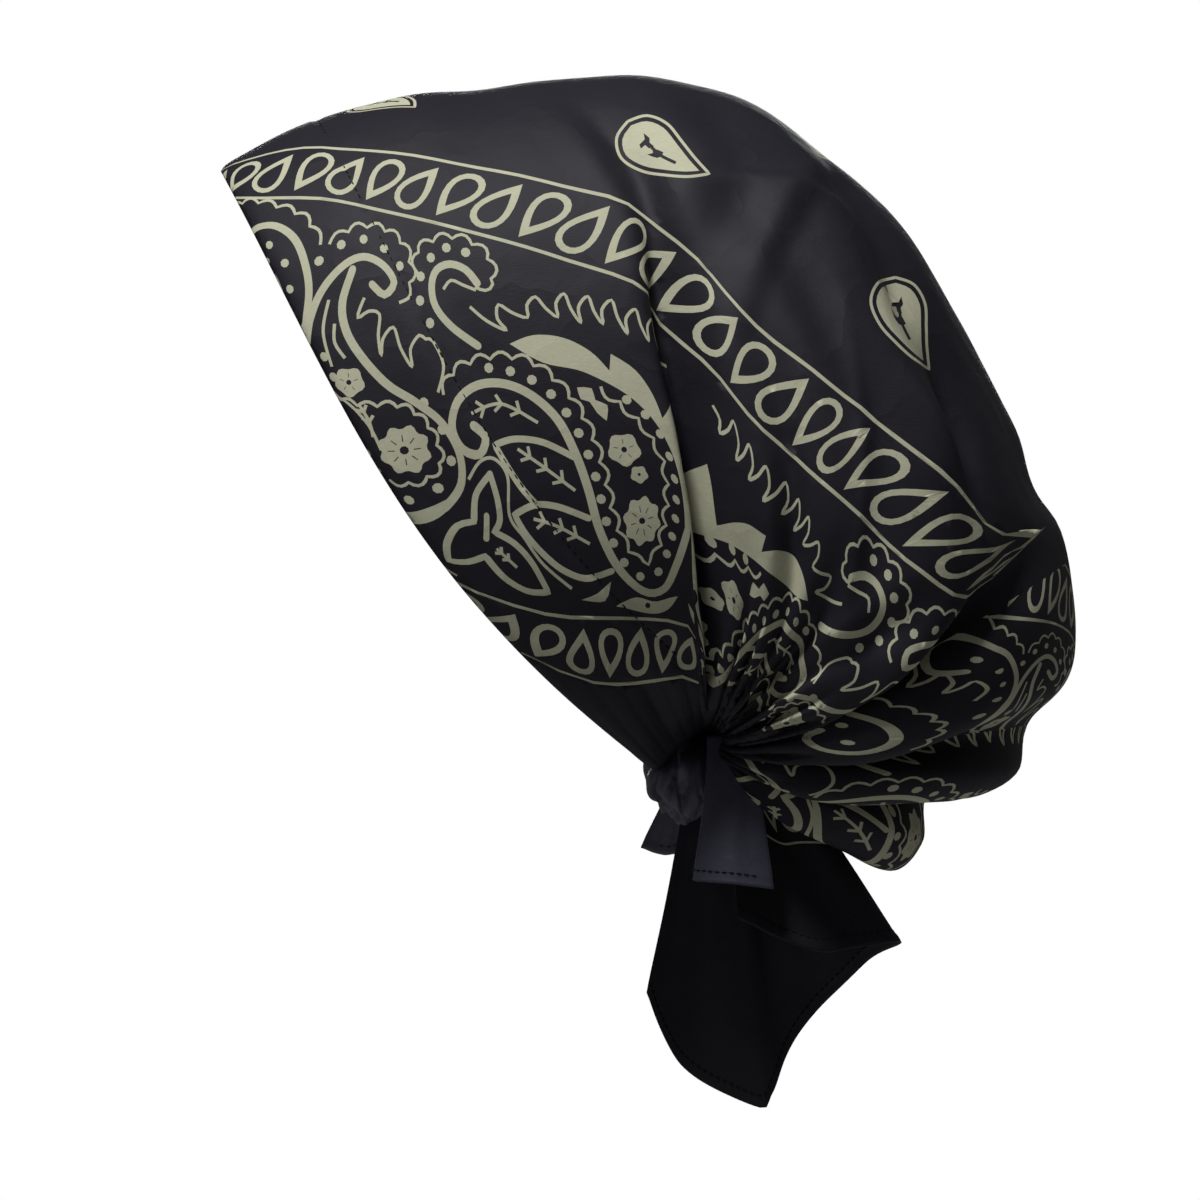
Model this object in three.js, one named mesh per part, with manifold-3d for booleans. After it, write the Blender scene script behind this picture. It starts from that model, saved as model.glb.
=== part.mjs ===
// A pre-tied headscarf: a square printed bandana whose front corner is turned under, drawn
// back over the head and gathered into a knot at the nape, with a slouching bag above the knot
// and the cloth's other three corners hanging out below it.
//
// Millimetres, +Z up. The wearer faces -Y and the wearer's left is +X. The origin is the point
// where the inside of the crown rests on the top of the head.
import * as THREE from "three";
import { mergeVertices } from "three/addons/utils/BufferGeometryUtils.js";
import Module from "manifold-3d";

const wasm = await Module();
wasm.setup();

// ---------------------------------------------------------------- driving dimensions
const CLOTH = 1.2; // thickness of one ply
const GAP = 0.3; // air between neighbouring plies
const HEM_WIDTH = 32; // depth of the turned-under front hem
const HEM_AIR = 1; // air between the hem and the facets of the crown round it
const HEM_END_DEG = 138; // how far round the head the hem runs, each way
const POLE_DEG = 167; // where the arches of cloth enter the gather, each side
const BOW_LOW = 1.25; // over 1 puts the greatest bow of an arch below the middle of its flank
const CROWN_STEPS_ALONG = 43; // facets from the front edge to the end of the bag
const CROWN_STEPS_ACROSS = 40; // facets over the head from gather to gather
const HEM_STEPS_ALONG = 4;
const HEM_STEPS_ACROSS = 40;

const KNOT = { y: 15.5, z: -203.5, halfX: 17, halfY: 8.5, halfZ: 12.5, lump: 0.05 };

// The cloth as a fan of arches, like the hoops of a pram hood. Every arch runs from the left
// gather over the head to the right gather. y, z: its highest point, on the midline.
// halfWidth: its greatest reach to each side. bow: how far its flank is carried towards the
// arch before it (+) or after it (-). Wide rows are rolls of slack, narrow rows valleys.
const ARCHES = [
  { y: -122.5, z: -25.0, halfWidth: 75, bow: 15 }, // front edge, on the forehead
  { y: -98.5, z: -12.5, halfWidth: 78, bow: 11 },
  { y: -69.5, z: -4.6, halfWidth: 80, bow: 7 },
  { y: -35.0, z: -0.2, halfWidth: 81, bow: 3 },
  { y: 0.0, z: 1.4, halfWidth: 82, bow: 0 }, // top of the head
  { y: 29.0, z: -5.0, halfWidth: 87, bow: -3 },
  { y: 58.0, z: -24.5, halfWidth: 90, bow: -6 }, // the main roll of the bag
  { y: 81.0, z: -49.5, halfWidth: 90, bow: -9 },
  { y: 99.5, z: -83.0, halfWidth: 88, bow: -14 },
  { y: 112.0, z: -112.0, halfWidth: 83, bow: -20 },
  { y: 119.0, z: -130.0, halfWidth: 68, bow: -4 }, // valley under the main roll
  { y: 126.0, z: -151.0, halfWidth: 75, bow: -6 }, // second roll
  { y: 125.0, z: -172.0, halfWidth: 70, bow: -12 },
  { y: 113.0, z: -187.0, halfWidth: 50, bow: -2 }, // valley
  { y: 110.0, z: -201.0, halfWidth: 57, bow: -3 }, // third roll
  { y: 98.0, z: -208.5, halfWidth: 52, bow: -9 },
  { y: 84.0, z: -207.5, halfWidth: 33, bow: 0 }, // valley
  { y: 82.5, z: -221.0, halfWidth: 37, bow: -2 }, // last roll
  { y: 74.0, z: -229.5, halfWidth: 32, bow: -6 },
  { y: 60.0, z: -222.0, halfWidth: 26, bow: -3 },
  { y: 44.0, z: -203.0, halfWidth: 21, bow: 0 },
  { y: 31.0, z: -195.5, halfWidth: 15, bow: 0 }, // end of the bag, drawn into the knot
];
// Where each arch runs into the gather, seen from the side.
const GATHER = { y: 19.5, z: -193.0 };
const FRONT_EDGE_FOOT = { y: 9.5, z: -205.0 };
const FOOT_BLEND_ROWS = 5; // rows over which the foot moves from the front edge to the gather

// Deep creases that run out from the gather on one flank. row: the arch they follow at the
// gather. slant: rows gained by the midline. depth: how far they sink. halfRows: half width.
// from, full: degrees round from the midline where they begin and are deepest. side: +1 left.
const CREASES = [
  { row: 5.17, slant: -1.74, depth: 12, halfRows: 0.36, from: 42, full: 90, side: 1 },
  { row: 5.3, slant: -1.5, depth: 11, halfRows: 0.38, from: 48, full: 96, side: -1 },
  { row: 7.2, slant: 0.8, depth: 4, halfRows: 0.5, from: 84, full: 130, side: 1 },
  { row: 6.6, slant: 0.6, depth: 4, halfRows: 0.5, from: 80, full: 126, side: -1 },
  { row: 2.2, slant: 0.3, depth: 2, halfRows: 0.5, from: 116, full: 150, side: 1 },
  { row: 2.4, slant: 0.2, depth: 2, halfRows: 0.5, from: 112, full: 150, side: -1 },
];

// Hanging ends, each a fan of cloth that leaves the knot at its root and widens to a hem.
// hem: the points of its lower edge, in order round the sheet. root: where it leaves the knot.
const CORNER_TAIL = {
  root: { x: 1, y: 23, z: -204.5 },
  rootSpan: { x: 4, y: 10, z: 2.2 },
  ripple: 2.5,
  ripples: 3,
  steps: 30,
  rows: 12,
  hem: [
    { x: -13, y: 2, z: -267 }, // the side next to the neck
    { x: -12, y: 12, z: -288 },
    { x: -8, y: 35, z: -298.5 }, // the cloth's back corner
    { x: -6, y: 48, z: -276 },
    { x: -3, y: 66, z: -256.5 },
    { x: 5, y: 76, z: -250.5 }, // the fold that turns the sheet forward over itself
    { x: 15, y: 62, z: -251.5 },
    { x: 20, y: 50, z: -252 },
    { x: 21, y: 28, z: -242.5 },
  ],
};
const LEFT_TIE_END = {
  root: { x: 15, y: 20.5, z: -205 },
  rootSpan: { x: -2.5, y: 6, z: 1.5 },
  ripple: 0.8,
  ripples: 1.5,
  steps: 12,
  rows: 9,
  hem: [
    { x: 26, y: 14.5, z: -232.5 },
    { x: 31, y: 26, z: -232.5 },
    { x: 28, y: 38.5, z: -234 },
  ],
};
const RIGHT_TIE_END = {
  root: { x: -15, y: 13, z: -206 },
  rootSpan: { x: -2.5, y: -5, z: 1.5 },
  ripple: 0.8,
  ripples: 1.5,
  steps: 12,
  rows: 7,
  hem: [
    { x: -23, y: 16, z: -223.5 },
    { x: -29, y: 8, z: -224.5 },
    { x: -27, y: 1.5, z: -223 },
  ],
};

// ---------------------------------------------------------------- small helpers
const radians = THREE.MathUtils.degToRad;
const smooth = THREE.MathUtils.smoothstep;

// A smooth curve through one column of a table, at a fractional row.
function column(rows, name, at) {
  const last = rows.length - 1;
  const row = Math.min(Math.max(Math.floor(at), 0), last - 1);
  const value = (k) => rows[Math.min(Math.max(k, 0), last)][name];
  const t = at - row;
  const [a, b, c, d] = [value(row - 1), value(row), value(row + 1), value(row + 2)];
  const rise = (c - a) / 2;
  const nextRise = (d - b) / 2;
  return (
    b +
    t * rise +
    t * t * (3 * (c - b) - 2 * rise - nextRise) +
    t * t * t * (2 * (b - c) + rise + nextRise)
  );
}

// A closed sheet of cloth: grid[i][j] are points on its middle, and it is thickened both ways
// along the grid's own normals.
function sheetGeometry(grid, thickness) {
  const rows = grid.length;
  const cols = grid[0].length;
  const clampRow = (i) => Math.min(Math.max(i, 0), rows - 1);
  const clampCol = (j) => Math.min(Math.max(j, 0), cols - 1);
  const positions = [];
  for (const sign of [1, -1]) {
    for (let i = 0; i < rows; i++) {
      for (let j = 0; j < cols; j++) {
        const along = grid[clampRow(i + 1)][j].clone().sub(grid[clampRow(i - 1)][j]);
        const across = grid[i][clampCol(j + 1)].clone().sub(grid[i][clampCol(j - 1)]);
        const normal = along.cross(across).normalize();
        const p = grid[i][j].clone().addScaledVector(normal, (sign * thickness) / 2);
        positions.push(p.x, p.y, p.z);
      }
    }
  }
  const index = [];
  const front = (i, j) => i * cols + j;
  const back = (i, j) => rows * cols + i * cols + j;
  const quad = (a, b, c, d) => index.push(a, b, c, a, c, d);
  for (let i = 0; i < rows - 1; i++) {
    for (let j = 0; j < cols - 1; j++) {
      quad(front(i, j), front(i + 1, j), front(i + 1, j + 1), front(i, j + 1));
      quad(back(i, j), back(i, j + 1), back(i + 1, j + 1), back(i + 1, j));
    }
  }
  for (let i = 0; i < rows - 1; i++) {
    quad(front(i, 0), back(i, 0), back(i + 1, 0), front(i + 1, 0));
    quad(front(i + 1, cols - 1), back(i + 1, cols - 1), back(i, cols - 1), front(i, cols - 1));
  }
  for (let j = 0; j < cols - 1; j++) {
    quad(front(0, j + 1), back(0, j + 1), back(0, j), front(0, j));
    quad(front(rows - 1, j), back(rows - 1, j), back(rows - 1, j + 1), front(rows - 1, j + 1));
  }
  const geometry = new THREE.BufferGeometry();
  geometry.setAttribute("position", new THREE.Float32BufferAttribute(positions, 3));
  geometry.setIndex(index);
  return geometry;
}

// Geometry to a manifold-3d solid and back, for the cuts round the knot.
function solidOf(geometry) {
  const bare = geometry.clone();
  bare.deleteAttribute("normal");
  bare.deleteAttribute("uv");
  const merged = mergeVertices(bare, 1e-3);
  return new wasm.Manifold(
    new wasm.Mesh({
      numProp: 3,
      vertProperties: merged.attributes.position.array,
      triVerts: new Uint32Array(merged.index.array),
    }),
  );
}

function geometryOf(solid) {
  const mesh = solid.getMesh();
  const geometry = new THREE.BufferGeometry();
  geometry.setAttribute("position", new THREE.BufferAttribute(mesh.vertProperties, 3));
  geometry.setIndex(new THREE.BufferAttribute(mesh.triVerts, 1));
  return geometry;
}

// The largest piece left of a sheet once a solid has been cut out of it.
function cutBy(geometry, cutter) {
  const left = solidOf(geometry).subtract(cutter).decompose();
  left.sort((a, b) => b.volume() - a.volume());
  return geometryOf(left[0]);
}

// ---------------------------------------------------------------- crown
const LAST_ROW = ARCHES.length - 1;

// A point of the cloth: row counts the arches from the front edge, and degrees runs from 0 on
// the midline to +-POLE_DEG at the gathers, + on the wearer's left.
function crownPoint(row, degrees) {
  const turn = radians(Math.abs(degrees));
  const side = Math.sign(degrees);
  const top = { y: column(ARCHES, "y", row), z: column(ARCHES, "z", row) };
  const blend = smooth(row, 0, FOOT_BLEND_ROWS);
  const foot = {
    y: THREE.MathUtils.lerp(FRONT_EDGE_FOOT.y, GATHER.y, blend),
    z: THREE.MathUtils.lerp(FRONT_EDGE_FOOT.z, GATHER.z, blend),
  };
  const down = (1 - Math.cos(turn)) / 2;
  const out = Math.sin(turn) ** 0.92;
  const radius = Math.hypot(top.y - foot.y, top.z - foot.z);
  const ahead = { y: -(top.z - foot.z) / radius, z: (top.y - foot.y) / radius };
  const carried = column(ARCHES, "bow", row) * Math.sin(Math.PI * down ** BOW_LOW);
  const sunk = creaseDepth(row, degrees);
  return new THREE.Vector3(
    side * (column(ARCHES, "halfWidth", row) * out - sunk),
    top.y + (foot.y - top.y) * down + ahead.y * carried,
    top.z + (foot.z - top.z) * down + ahead.z * carried,
  );
}

// How far the creases draw a point of the cloth in towards the head.
function creaseDepth(row, degrees) {
  let depth = 0;
  for (const crease of CREASES) {
    if (Math.sign(degrees) !== crease.side) continue;
    const turn = Math.abs(degrees);
    const reach = smooth(turn, crease.from, crease.full) * (1 - smooth(turn, 146, POLE_DEG));
    const centre = crease.row + crease.slant * (1 - turn / POLE_DEG);
    depth += crease.depth * reach * Math.exp(-(((row - centre) / crease.halfRows) ** 2));
  }
  return depth;
}

// A grid of cloth points, moved along the cloth's normal: + is away from the head.
function clothGrid(rowAt, degreesAt, stepsAlong, stepsAcross, offset = 0) {
  const step = 0.02;
  const grid = [];
  for (let i = 0; i <= stepsAlong; i++) {
    const line = [];
    for (let j = 0; j <= stepsAcross; j++) {
      const degrees = degreesAt(j / stepsAcross);
      const row = rowAt(i / stepsAlong, degrees);
      const p = crownPoint(row, degrees);
      if (offset) {
        const along = crownPoint(row + step, degrees).sub(crownPoint(row, degrees));
        const across = crownPoint(row, degrees + 1).sub(crownPoint(row, degrees - 1));
        p.addScaledVector(across.cross(along).normalize(), offset);
      }
      line.push(p);
    }
    grid.push(line);
  }
  return grid;
}

function crownGeometry() {
  const grid = clothGrid(
    (t) => t * LAST_ROW,
    (t) => (2 * t - 1) * POLE_DEG,
    CROWN_STEPS_ALONG,
    CROWN_STEPS_ACROSS,
  );
  return sheetGeometry(grid, CLOTH);
}

// The row that lies HEM_WIDTH behind the front edge, measured along the cloth.
function hemRow(degrees) {
  const step = 0.05;
  let row = 0;
  let walked = 0;
  while (walked < HEM_WIDTH && row < 4) {
    walked += crownPoint(row + step, degrees).distanceTo(crownPoint(row, degrees));
    row += step;
  }
  return row;
}

// The ply turned under along the front edge, inside the crown.
function hemGeometry() {
  const grid = clothGrid(
    (t, degrees) => t * hemRow(degrees),
    (t) => (2 * t - 1) * HEM_END_DEG,
    HEM_STEPS_ALONG,
    HEM_STEPS_ACROSS,
    -(CLOTH + HEM_AIR),
  );
  return sheetGeometry(grid, CLOTH);
}

// ---------------------------------------------------------------- knot and hanging ends
// A lumpy knot of wrapped cloth, grown on every side by a margin.
function knotGeometry(grow = 0) {
  const ball = new THREE.SphereGeometry(1, 28, 18);
  const at = ball.attributes.position;
  const p = new THREE.Vector3();
  for (let i = 0; i < at.count; i++) {
    p.fromBufferAttribute(at, i);
    const wraps = 1 + KNOT.lump * Math.cos(9 * p.x + 2 * p.z) * (1 - p.x * p.x);
    p.set(
      p.x * (KNOT.halfX + grow),
      p.y * (KNOT.halfY * wraps + grow),
      p.z * (KNOT.halfZ * wraps + grow),
    );
    at.setXYZ(i, p.x, p.y + KNOT.y, p.z + KNOT.z);
  }
  return ball;
}

const knotClearance = solidOf(knotGeometry(GAP));

// A hanging end: a fan of cloth from its root to its hem, rippled across its width.
function tailGrid(tail) {
  const grid = [];
  for (let i = 0; i <= tail.rows; i++) {
    const fall = i / tail.rows;
    const line = [];
    for (let j = 0; j <= tail.steps; j++) {
      const across = j / tail.steps;
      const at = across * (tail.hem.length - 1);
      const hem = new THREE.Vector3(
        column(tail.hem, "x", at),
        column(tail.hem, "y", at),
        column(tail.hem, "z", at),
      );
      const span = tail.rootSpan;
      const root = new THREE.Vector3(tail.root.x, tail.root.y, tail.root.z).add(
        new THREE.Vector3(span.x, span.y, span.z).multiplyScalar(2 * across - 1),
      );
      const wave = Math.sin(2 * Math.PI * tail.ripples * across) * Math.sin(Math.PI * fall * 0.8);
      const p = root.lerp(hem, fall);
      p.x += tail.ripple * wave;
      line.push(p);
    }
    grid.push(line);
  }
  return grid;
}

// A hanging end as a solid, cut clear of the knot.
function tailGeometry(tail) {
  return cutBy(sheetGeometry(tailGrid(tail), CLOTH), knotClearance);
}

// ---------------------------------------------------------------- assembly
const CLOTH_COLOUR = 0x17161b;
const CLOTH_ROUGHNESS = 0.8;
const TIE_COLOUR = 0x1b1b24;
const TIE_ROUGHNESS = 0.6;

const headscarf = new THREE.Group();
headscarf.name = "pre_tied_headscarf";

function add(name, geometry, colour, roughness) {
  const material = new THREE.MeshStandardMaterial({ color: colour, roughness, metalness: 0 });
  const mesh = new THREE.Mesh(geometry, material);
  mesh.name = name;
  headscarf.add(mesh);
}

add("crown_cloth", cutBy(crownGeometry(), knotClearance), CLOTH_COLOUR, CLOTH_ROUGHNESS);
add("front_hem", hemGeometry(), CLOTH_COLOUR, CLOTH_ROUGHNESS);
add("nape_knot", knotGeometry(), TIE_COLOUR, TIE_ROUGHNESS);
add("corner_tail", tailGeometry(CORNER_TAIL), CLOTH_COLOUR, CLOTH_ROUGHNESS);
add("left_tie_end", tailGeometry(LEFT_TIE_END), TIE_COLOUR, TIE_ROUGHNESS);
add("right_tie_end", tailGeometry(RIGHT_TIE_END), TIE_COLOUR, TIE_ROUGHNESS);

export default headscarf;
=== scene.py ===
"""A pre-tied headscarf: a printed cotton crown gathered at the nape, with a satin knot, two ends and a tail.

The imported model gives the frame. Each class below makes one sub-assembly of the scarf around it: the
crown with its printed border, the turned hem along its front edge, the knot at the nape, the tail below
it and the two tie ends. Lengths are written in millimetres and turned into metres where a mesh is made.
"""

import logging
import math
from dataclasses import dataclass, field
from enum import Enum
from functools import cached_property
from typing import Callable, NamedTuple, Sequence

import bmesh
import bpy
import numpy as np
from mathutils import Matrix, Vector, noise
from mathutils.geometry import delaunay_2d_cdt
from mathutils.kdtree import KDTree

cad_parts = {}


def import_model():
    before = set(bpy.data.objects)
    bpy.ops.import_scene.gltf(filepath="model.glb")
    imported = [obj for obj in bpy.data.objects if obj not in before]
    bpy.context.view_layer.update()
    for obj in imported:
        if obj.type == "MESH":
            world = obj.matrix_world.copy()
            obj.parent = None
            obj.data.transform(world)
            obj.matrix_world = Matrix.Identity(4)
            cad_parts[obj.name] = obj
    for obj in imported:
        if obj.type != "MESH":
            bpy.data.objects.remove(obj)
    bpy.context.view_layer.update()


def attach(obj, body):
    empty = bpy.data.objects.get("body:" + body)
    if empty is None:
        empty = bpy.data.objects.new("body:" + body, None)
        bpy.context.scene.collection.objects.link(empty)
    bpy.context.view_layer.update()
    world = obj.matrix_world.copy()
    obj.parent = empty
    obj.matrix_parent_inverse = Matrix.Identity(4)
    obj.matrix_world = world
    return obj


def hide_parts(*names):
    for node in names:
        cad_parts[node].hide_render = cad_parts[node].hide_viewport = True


LOG = logging.getLogger("headscarf")
MM = 0.001
BODY = "root"

Flat = tuple[float, float]
Place = tuple[float, float, float]
Colour = tuple[float, float, float]


# ---------------- curves


def smooth_step(value: np.ndarray, start: float, end: float) -> np.ndarray:
    """Rises smoothly from 0 at start to 1 at end."""
    share = np.clip((value - start) / (end - start), 0.0, 1.0)
    return share * share * (3.0 - 2.0 * share)


def along_rows(values: Sequence[float], at: np.ndarray) -> np.ndarray:
    """Reads a column of evenly spaced values between its rows, on a Catmull-Rom curve.

    Args:
        values: one value for each row.
        at: row numbers, whole or not; past the ends the curve goes on straight.

    Returns:
        The value at each row number.
    """
    column = np.asarray(values, float)
    last = len(column) - 1
    at = np.asarray(at, float)
    row = np.clip(np.floor(at), 0, last - 1).astype(int)
    inside = np.clip(at - row, 0.0, 1.0)
    beyond = at - row - inside
    before, here = column[np.clip(row - 1, 0, last)], column[row]
    there, after = column[row + 1], column[np.clip(row + 2, 0, last)]
    rise, next_rise = (there - before) / 2, (after - here) / 2
    bend = 3 * (there - here) - 2 * rise - next_rise
    twist = 2 * (here - there) + rise + next_rise
    curve = here + inside * rise + inside**2 * bend + inside**3 * twist
    return curve + beyond * (there - here)


def run_along(path: np.ndarray) -> np.ndarray:
    """The distance along a path to each of its points."""
    return np.concatenate([[0.0], np.cumsum(np.linalg.norm(np.diff(path, axis=0), axis=1))])


def sideways(line: np.ndarray, closed: bool = False) -> np.ndarray:
    """The unit vectors that point to the left of a line at each of its points."""
    along = np.roll(line, -1, axis=0) - np.roll(line, 1, axis=0) if closed else np.gradient(line, axis=0)
    along /= np.maximum(np.linalg.norm(along, axis=1, keepdims=True), 1e-6)
    return np.stack([-along[:, 1], along[:, 0]], -1)


def smooth_path(points: Sequence[Flat], step: float = 1.6, closed: bool = False) -> list[Flat]:
    """Runs a smooth curve through points, with a sharp corner wherever a point is given twice.

    Args:
        points: the points that the curve passes.
        step: the length of one piece of the curve.
        closed: whether the curve comes back to its first point.

    Returns:
        Points along the curve, close enough together to look round.
    """
    runs: list[list[Flat]] = [[]]
    for point in points:
        if runs[-1] and runs[-1][-1] == point:
            runs.append([point])
        else:
            runs[-1].append(point)
    looped = closed and len(runs) == 1
    if closed and not looped:
        runs[-1].append(points[0])
    path: list[Flat] = []
    for run in runs:
        if len(run) < 2:
            continue
        knots = [run[-1], *run, run[0], run[1]] if looped else [run[0], *run, run[-1]]
        for before, here, there, after in zip(knots, knots[1:], knots[2:], knots[3:]):
            pieces = max(1, round(math.dist(here, there) / step))
            for piece in range(pieces):
                t = piece / pieces
                path.append(tuple(
                    h + 0.5 * t * (n - b + t * (2 * b - 5 * h + 4 * n - a + t * (3 * (h - n) + a - b)))
                    for b, h, n, a in zip(before, here, there, after)))
    if not closed:
        path.append(points[-1])
    return path


# ---------------- the form of the crown


class Arch(NamedTuple):
    """One arch over the head: where its top is, its half width and how far its sides bow out."""

    y: float
    z: float
    half_width: float
    bow: float


class Crease(NamedTuple):
    """A fold that sinks into one side: its row at the top and its lean, depth, width and reach."""

    row: float
    lean: float
    depth: float
    half_rows: float
    from_deg: float
    full_deg: float
    tuck: float
    side: int


class Dent(NamedTuple):
    """A hollow in the taut cloth, or a ridge where its depth is negative.

    Its edge is soft where crisp is 0 and sharp where crisp is 1.
    """

    row: float
    deg: float
    depth: float
    length: float
    width: float
    turn_deg: float
    crisp: float = 0.0


@dataclass(frozen=True)
class CrownForm:
    """The surface of the crown: arches from the front edge to the gather, read by row and degree.

    A row is an arch, or a place between two. A degree is the way round it, from 0 on the middle line
    to the gather at the nape, and is negative on the wearer's right.
    """

    arches: tuple[Arch, ...] = (
        Arch(-122.5, -25, 75, 15), Arch(-98.5, -12.5, 78, 11), Arch(-69.5, -4.6, 80, 7),
        Arch(-35, -0.2, 81, 3), Arch(0, 1.4, 82, 0), Arch(29, -5, 87, -3), Arch(58, -24.5, 90, -6),
        Arch(81, -49.5, 90, -9), Arch(99.5, -83, 88, -14), Arch(112, -112, 83, -20),
        Arch(122.5, -130, 68, -4), Arch(126, -151, 75, -6), Arch(125, -172, 70, -12),
        Arch(113, -187, 50, -2), Arch(110, -201, 57, -3), Arch(98, -208.5, 52, -9),
        Arch(84, -207.5, 33, 0), Arch(82.5, -221, 37, -2), Arch(74, -229.5, 32, -6),
        Arch(60, -222, 26, -3), Arch(44, -203, 21, 0), Arch(31, -195.5, 15, 0))
    creases: tuple[Crease, ...] = (
        Crease(5.17, -1.74, 13, 0.26, 40, 88, 8.5, 1), Crease(5.3, -1.5, 12, 0.28, 46, 94, 7.5, -1),
        Crease(7.2, 0.8, 5, 0.40, 84, 130, 0, 1), Crease(6.6, 0.6, 5, 0.40, 80, 126, 0, -1),
        Crease(2.2, 0.3, 2, 0.50, 116, 150, 0, 1), Crease(2.4, 0.2, 2, 0.50, 112, 150, 0, -1))
    pole_deg: float = 167.0
    gather: Flat = (19.5, -193.0)
    front_edge_foot: Flat = (9.5, -205.0)
    foot_blend_rows: float = 5.0
    crease_fade_deg: float = 146.0
    bow_low: float = 1.25
    side_power: float = 0.92

    @property
    def last_row(self) -> int:
        """The row of the last arch."""
        return len(self.arches) - 1

    def column(self, name: str, rows: np.ndarray) -> np.ndarray:
        """One measure of the arches, read between its rows."""
        return along_rows([getattr(arch, name) for arch in self.arches], rows)

    def crease_pull(self, rows: np.ndarray, degs: np.ndarray) -> tuple[np.ndarray, np.ndarray]:
        """How far the creases sink the side inwards, and tuck it forwards, at each place."""
        turn, side = np.abs(degs), np.where(degs < 0, -1, 1)
        sunk, tucked = np.zeros_like(turn), np.zeros_like(turn)
        fade = 1 - smooth_step(turn, self.crease_fade_deg, self.pole_deg)
        for crease in self.creases:
            reach = smooth_step(turn, crease.from_deg, crease.full_deg) * fade * (side == crease.side)
            centre = crease.row + crease.lean * (1 - turn / self.pole_deg)
            near = reach * np.exp(-(((rows - centre) / crease.half_rows) ** 2))
            sunk += crease.depth * near
            tucked += crease.tuck * near
        return sunk, tucked

    def base(self, rows: np.ndarray, degs: np.ndarray, creased: bool = True) -> np.ndarray:
        """Places on the arches, in millimetres, with or without the deep creases."""
        rows, degs = np.broadcast_arrays(np.asarray(rows, float), np.asarray(degs, float))
        turn, side = np.radians(np.abs(degs)), np.sign(degs)
        top_y, top_z = self.column("y", rows), self.column("z", rows)
        blend = smooth_step(rows, 0.0, self.foot_blend_rows)
        foot_y = self.front_edge_foot[0] + (self.gather[0] - self.front_edge_foot[0]) * blend
        foot_z = self.front_edge_foot[1] + (self.gather[1] - self.front_edge_foot[1]) * blend
        down = (1 - np.cos(turn)) / 2
        out = np.abs(np.sin(turn)) ** self.side_power
        radius = np.hypot(top_y - foot_y, top_z - foot_z)
        ahead_y, ahead_z = (foot_z - top_z) / radius, (top_y - foot_y) / radius
        carried = self.column("bow", rows) * np.sin(np.pi * down**self.bow_low)
        sunk, tucked = self.crease_pull(rows, degs) if creased else (0.0, 0.0)
        x = side * (self.column("half_width", rows) * out - sunk)
        y = top_y + (foot_y - top_y) * down + ahead_y * carried - tucked
        z = top_z + (foot_z - top_z) * down + ahead_z * carried
        return np.stack([x, y, z], axis=-1)


# ---------------- how the cloth lies


class Lay(NamedTuple):
    """Where an arch crosses the flat cloth: on the middle line, at a bend part way down, and low down."""

    top_u: float
    top_v: float
    bend_deg: float
    bend_u: float
    bend_v: float
    low_deg: float
    low_u: float
    low_v: float


@dataclass(frozen=True)
class Strip:
    """A run of rows whose cloth is flattened as one strip along one edge of the square.

    In the flat, u runs along the cloth's edge from the point where the border's inner band meets the
    brow, and v is the distance from that edge. The lay is given for every whole row from lay_start on.
    """

    first_row: float
    last_row: float
    lay_start: float
    lay: tuple[Lay, ...]

    def column(self, name: str, rows: np.ndarray) -> np.ndarray:
        """One measure of the lay, read between its rows."""
        return along_rows([getattr(line, name) for line in self.lay], rows - self.lay_start)


BAND_V = 157.5
STRIPS = (
    Strip(0.0, 9.8, -1.0, (
        Lay(-34, 157, 6, -20, 147, 107, 106, 28), Lay(-7, 177, 26, 12, 147, 118.5, 124, 28),
        Lay(14, 197, 41, 48, 147, 131, 141, 28), Lay(35, 213, 53, 87, 147, 136, 156, 28),
        Lay(62, 227, 63, 121, 147, 139, 170, 28), Lay(87, 240, 72.5, 152, 147, 142, 183, 30),
        Lay(112, 258, 88, 187, 147, 150, 196, 52), Lay(137, 262, 91.5, 211, 147, 150, 208, 62),
        Lay(161, 256, 90, 236, 147, 150, 224, 64), Lay(186, 242, 84, 259, 147, 150, 242, 62),
        Lay(210, 226, 71, 281, 147, 150, 264, 60), Lay(232, 198, 54, 298, 147, 150, 286, 60),
        Lay(250, 176, 36, 312, 147, 150, 306, 60))),
    Strip(10.45, 13.0, 10.0, (
        Lay(88, 183, 60, 24, 152, 167, 0, 48), Lay(105, 167, 60, 34, 138, 167, 5, 45),
        Lay(104, 145, 60, 48, 102, 167, 20, 40), Lay(104, 122, 60, 62, 88, 167, 40, 38))),
    Strip(13.0, 21.0, 13.0, (
        Lay(172, 138, 60, 122, 132, 167, 45, 120), Lay(172, 122, 60, 118, 118, 167, 45, 105),
        Lay(172, 107, 60, 121, 102, 167, 55, 90), Lay(172, 92, 60, 138, 88, 167, 85, 78),
        Lay(172, 78, 60, 134, 75, 167, 80, 66), Lay(172, 66, 60, 138, 63, 167, 85, 55),
        Lay(172, 52, 60, 146, 50, 167, 105, 45), Lay(172, 38, 60, 153, 37, 167, 125, 36),
        Lay(172, 30, 60, 160, 30, 167, 142, 30))))


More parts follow.
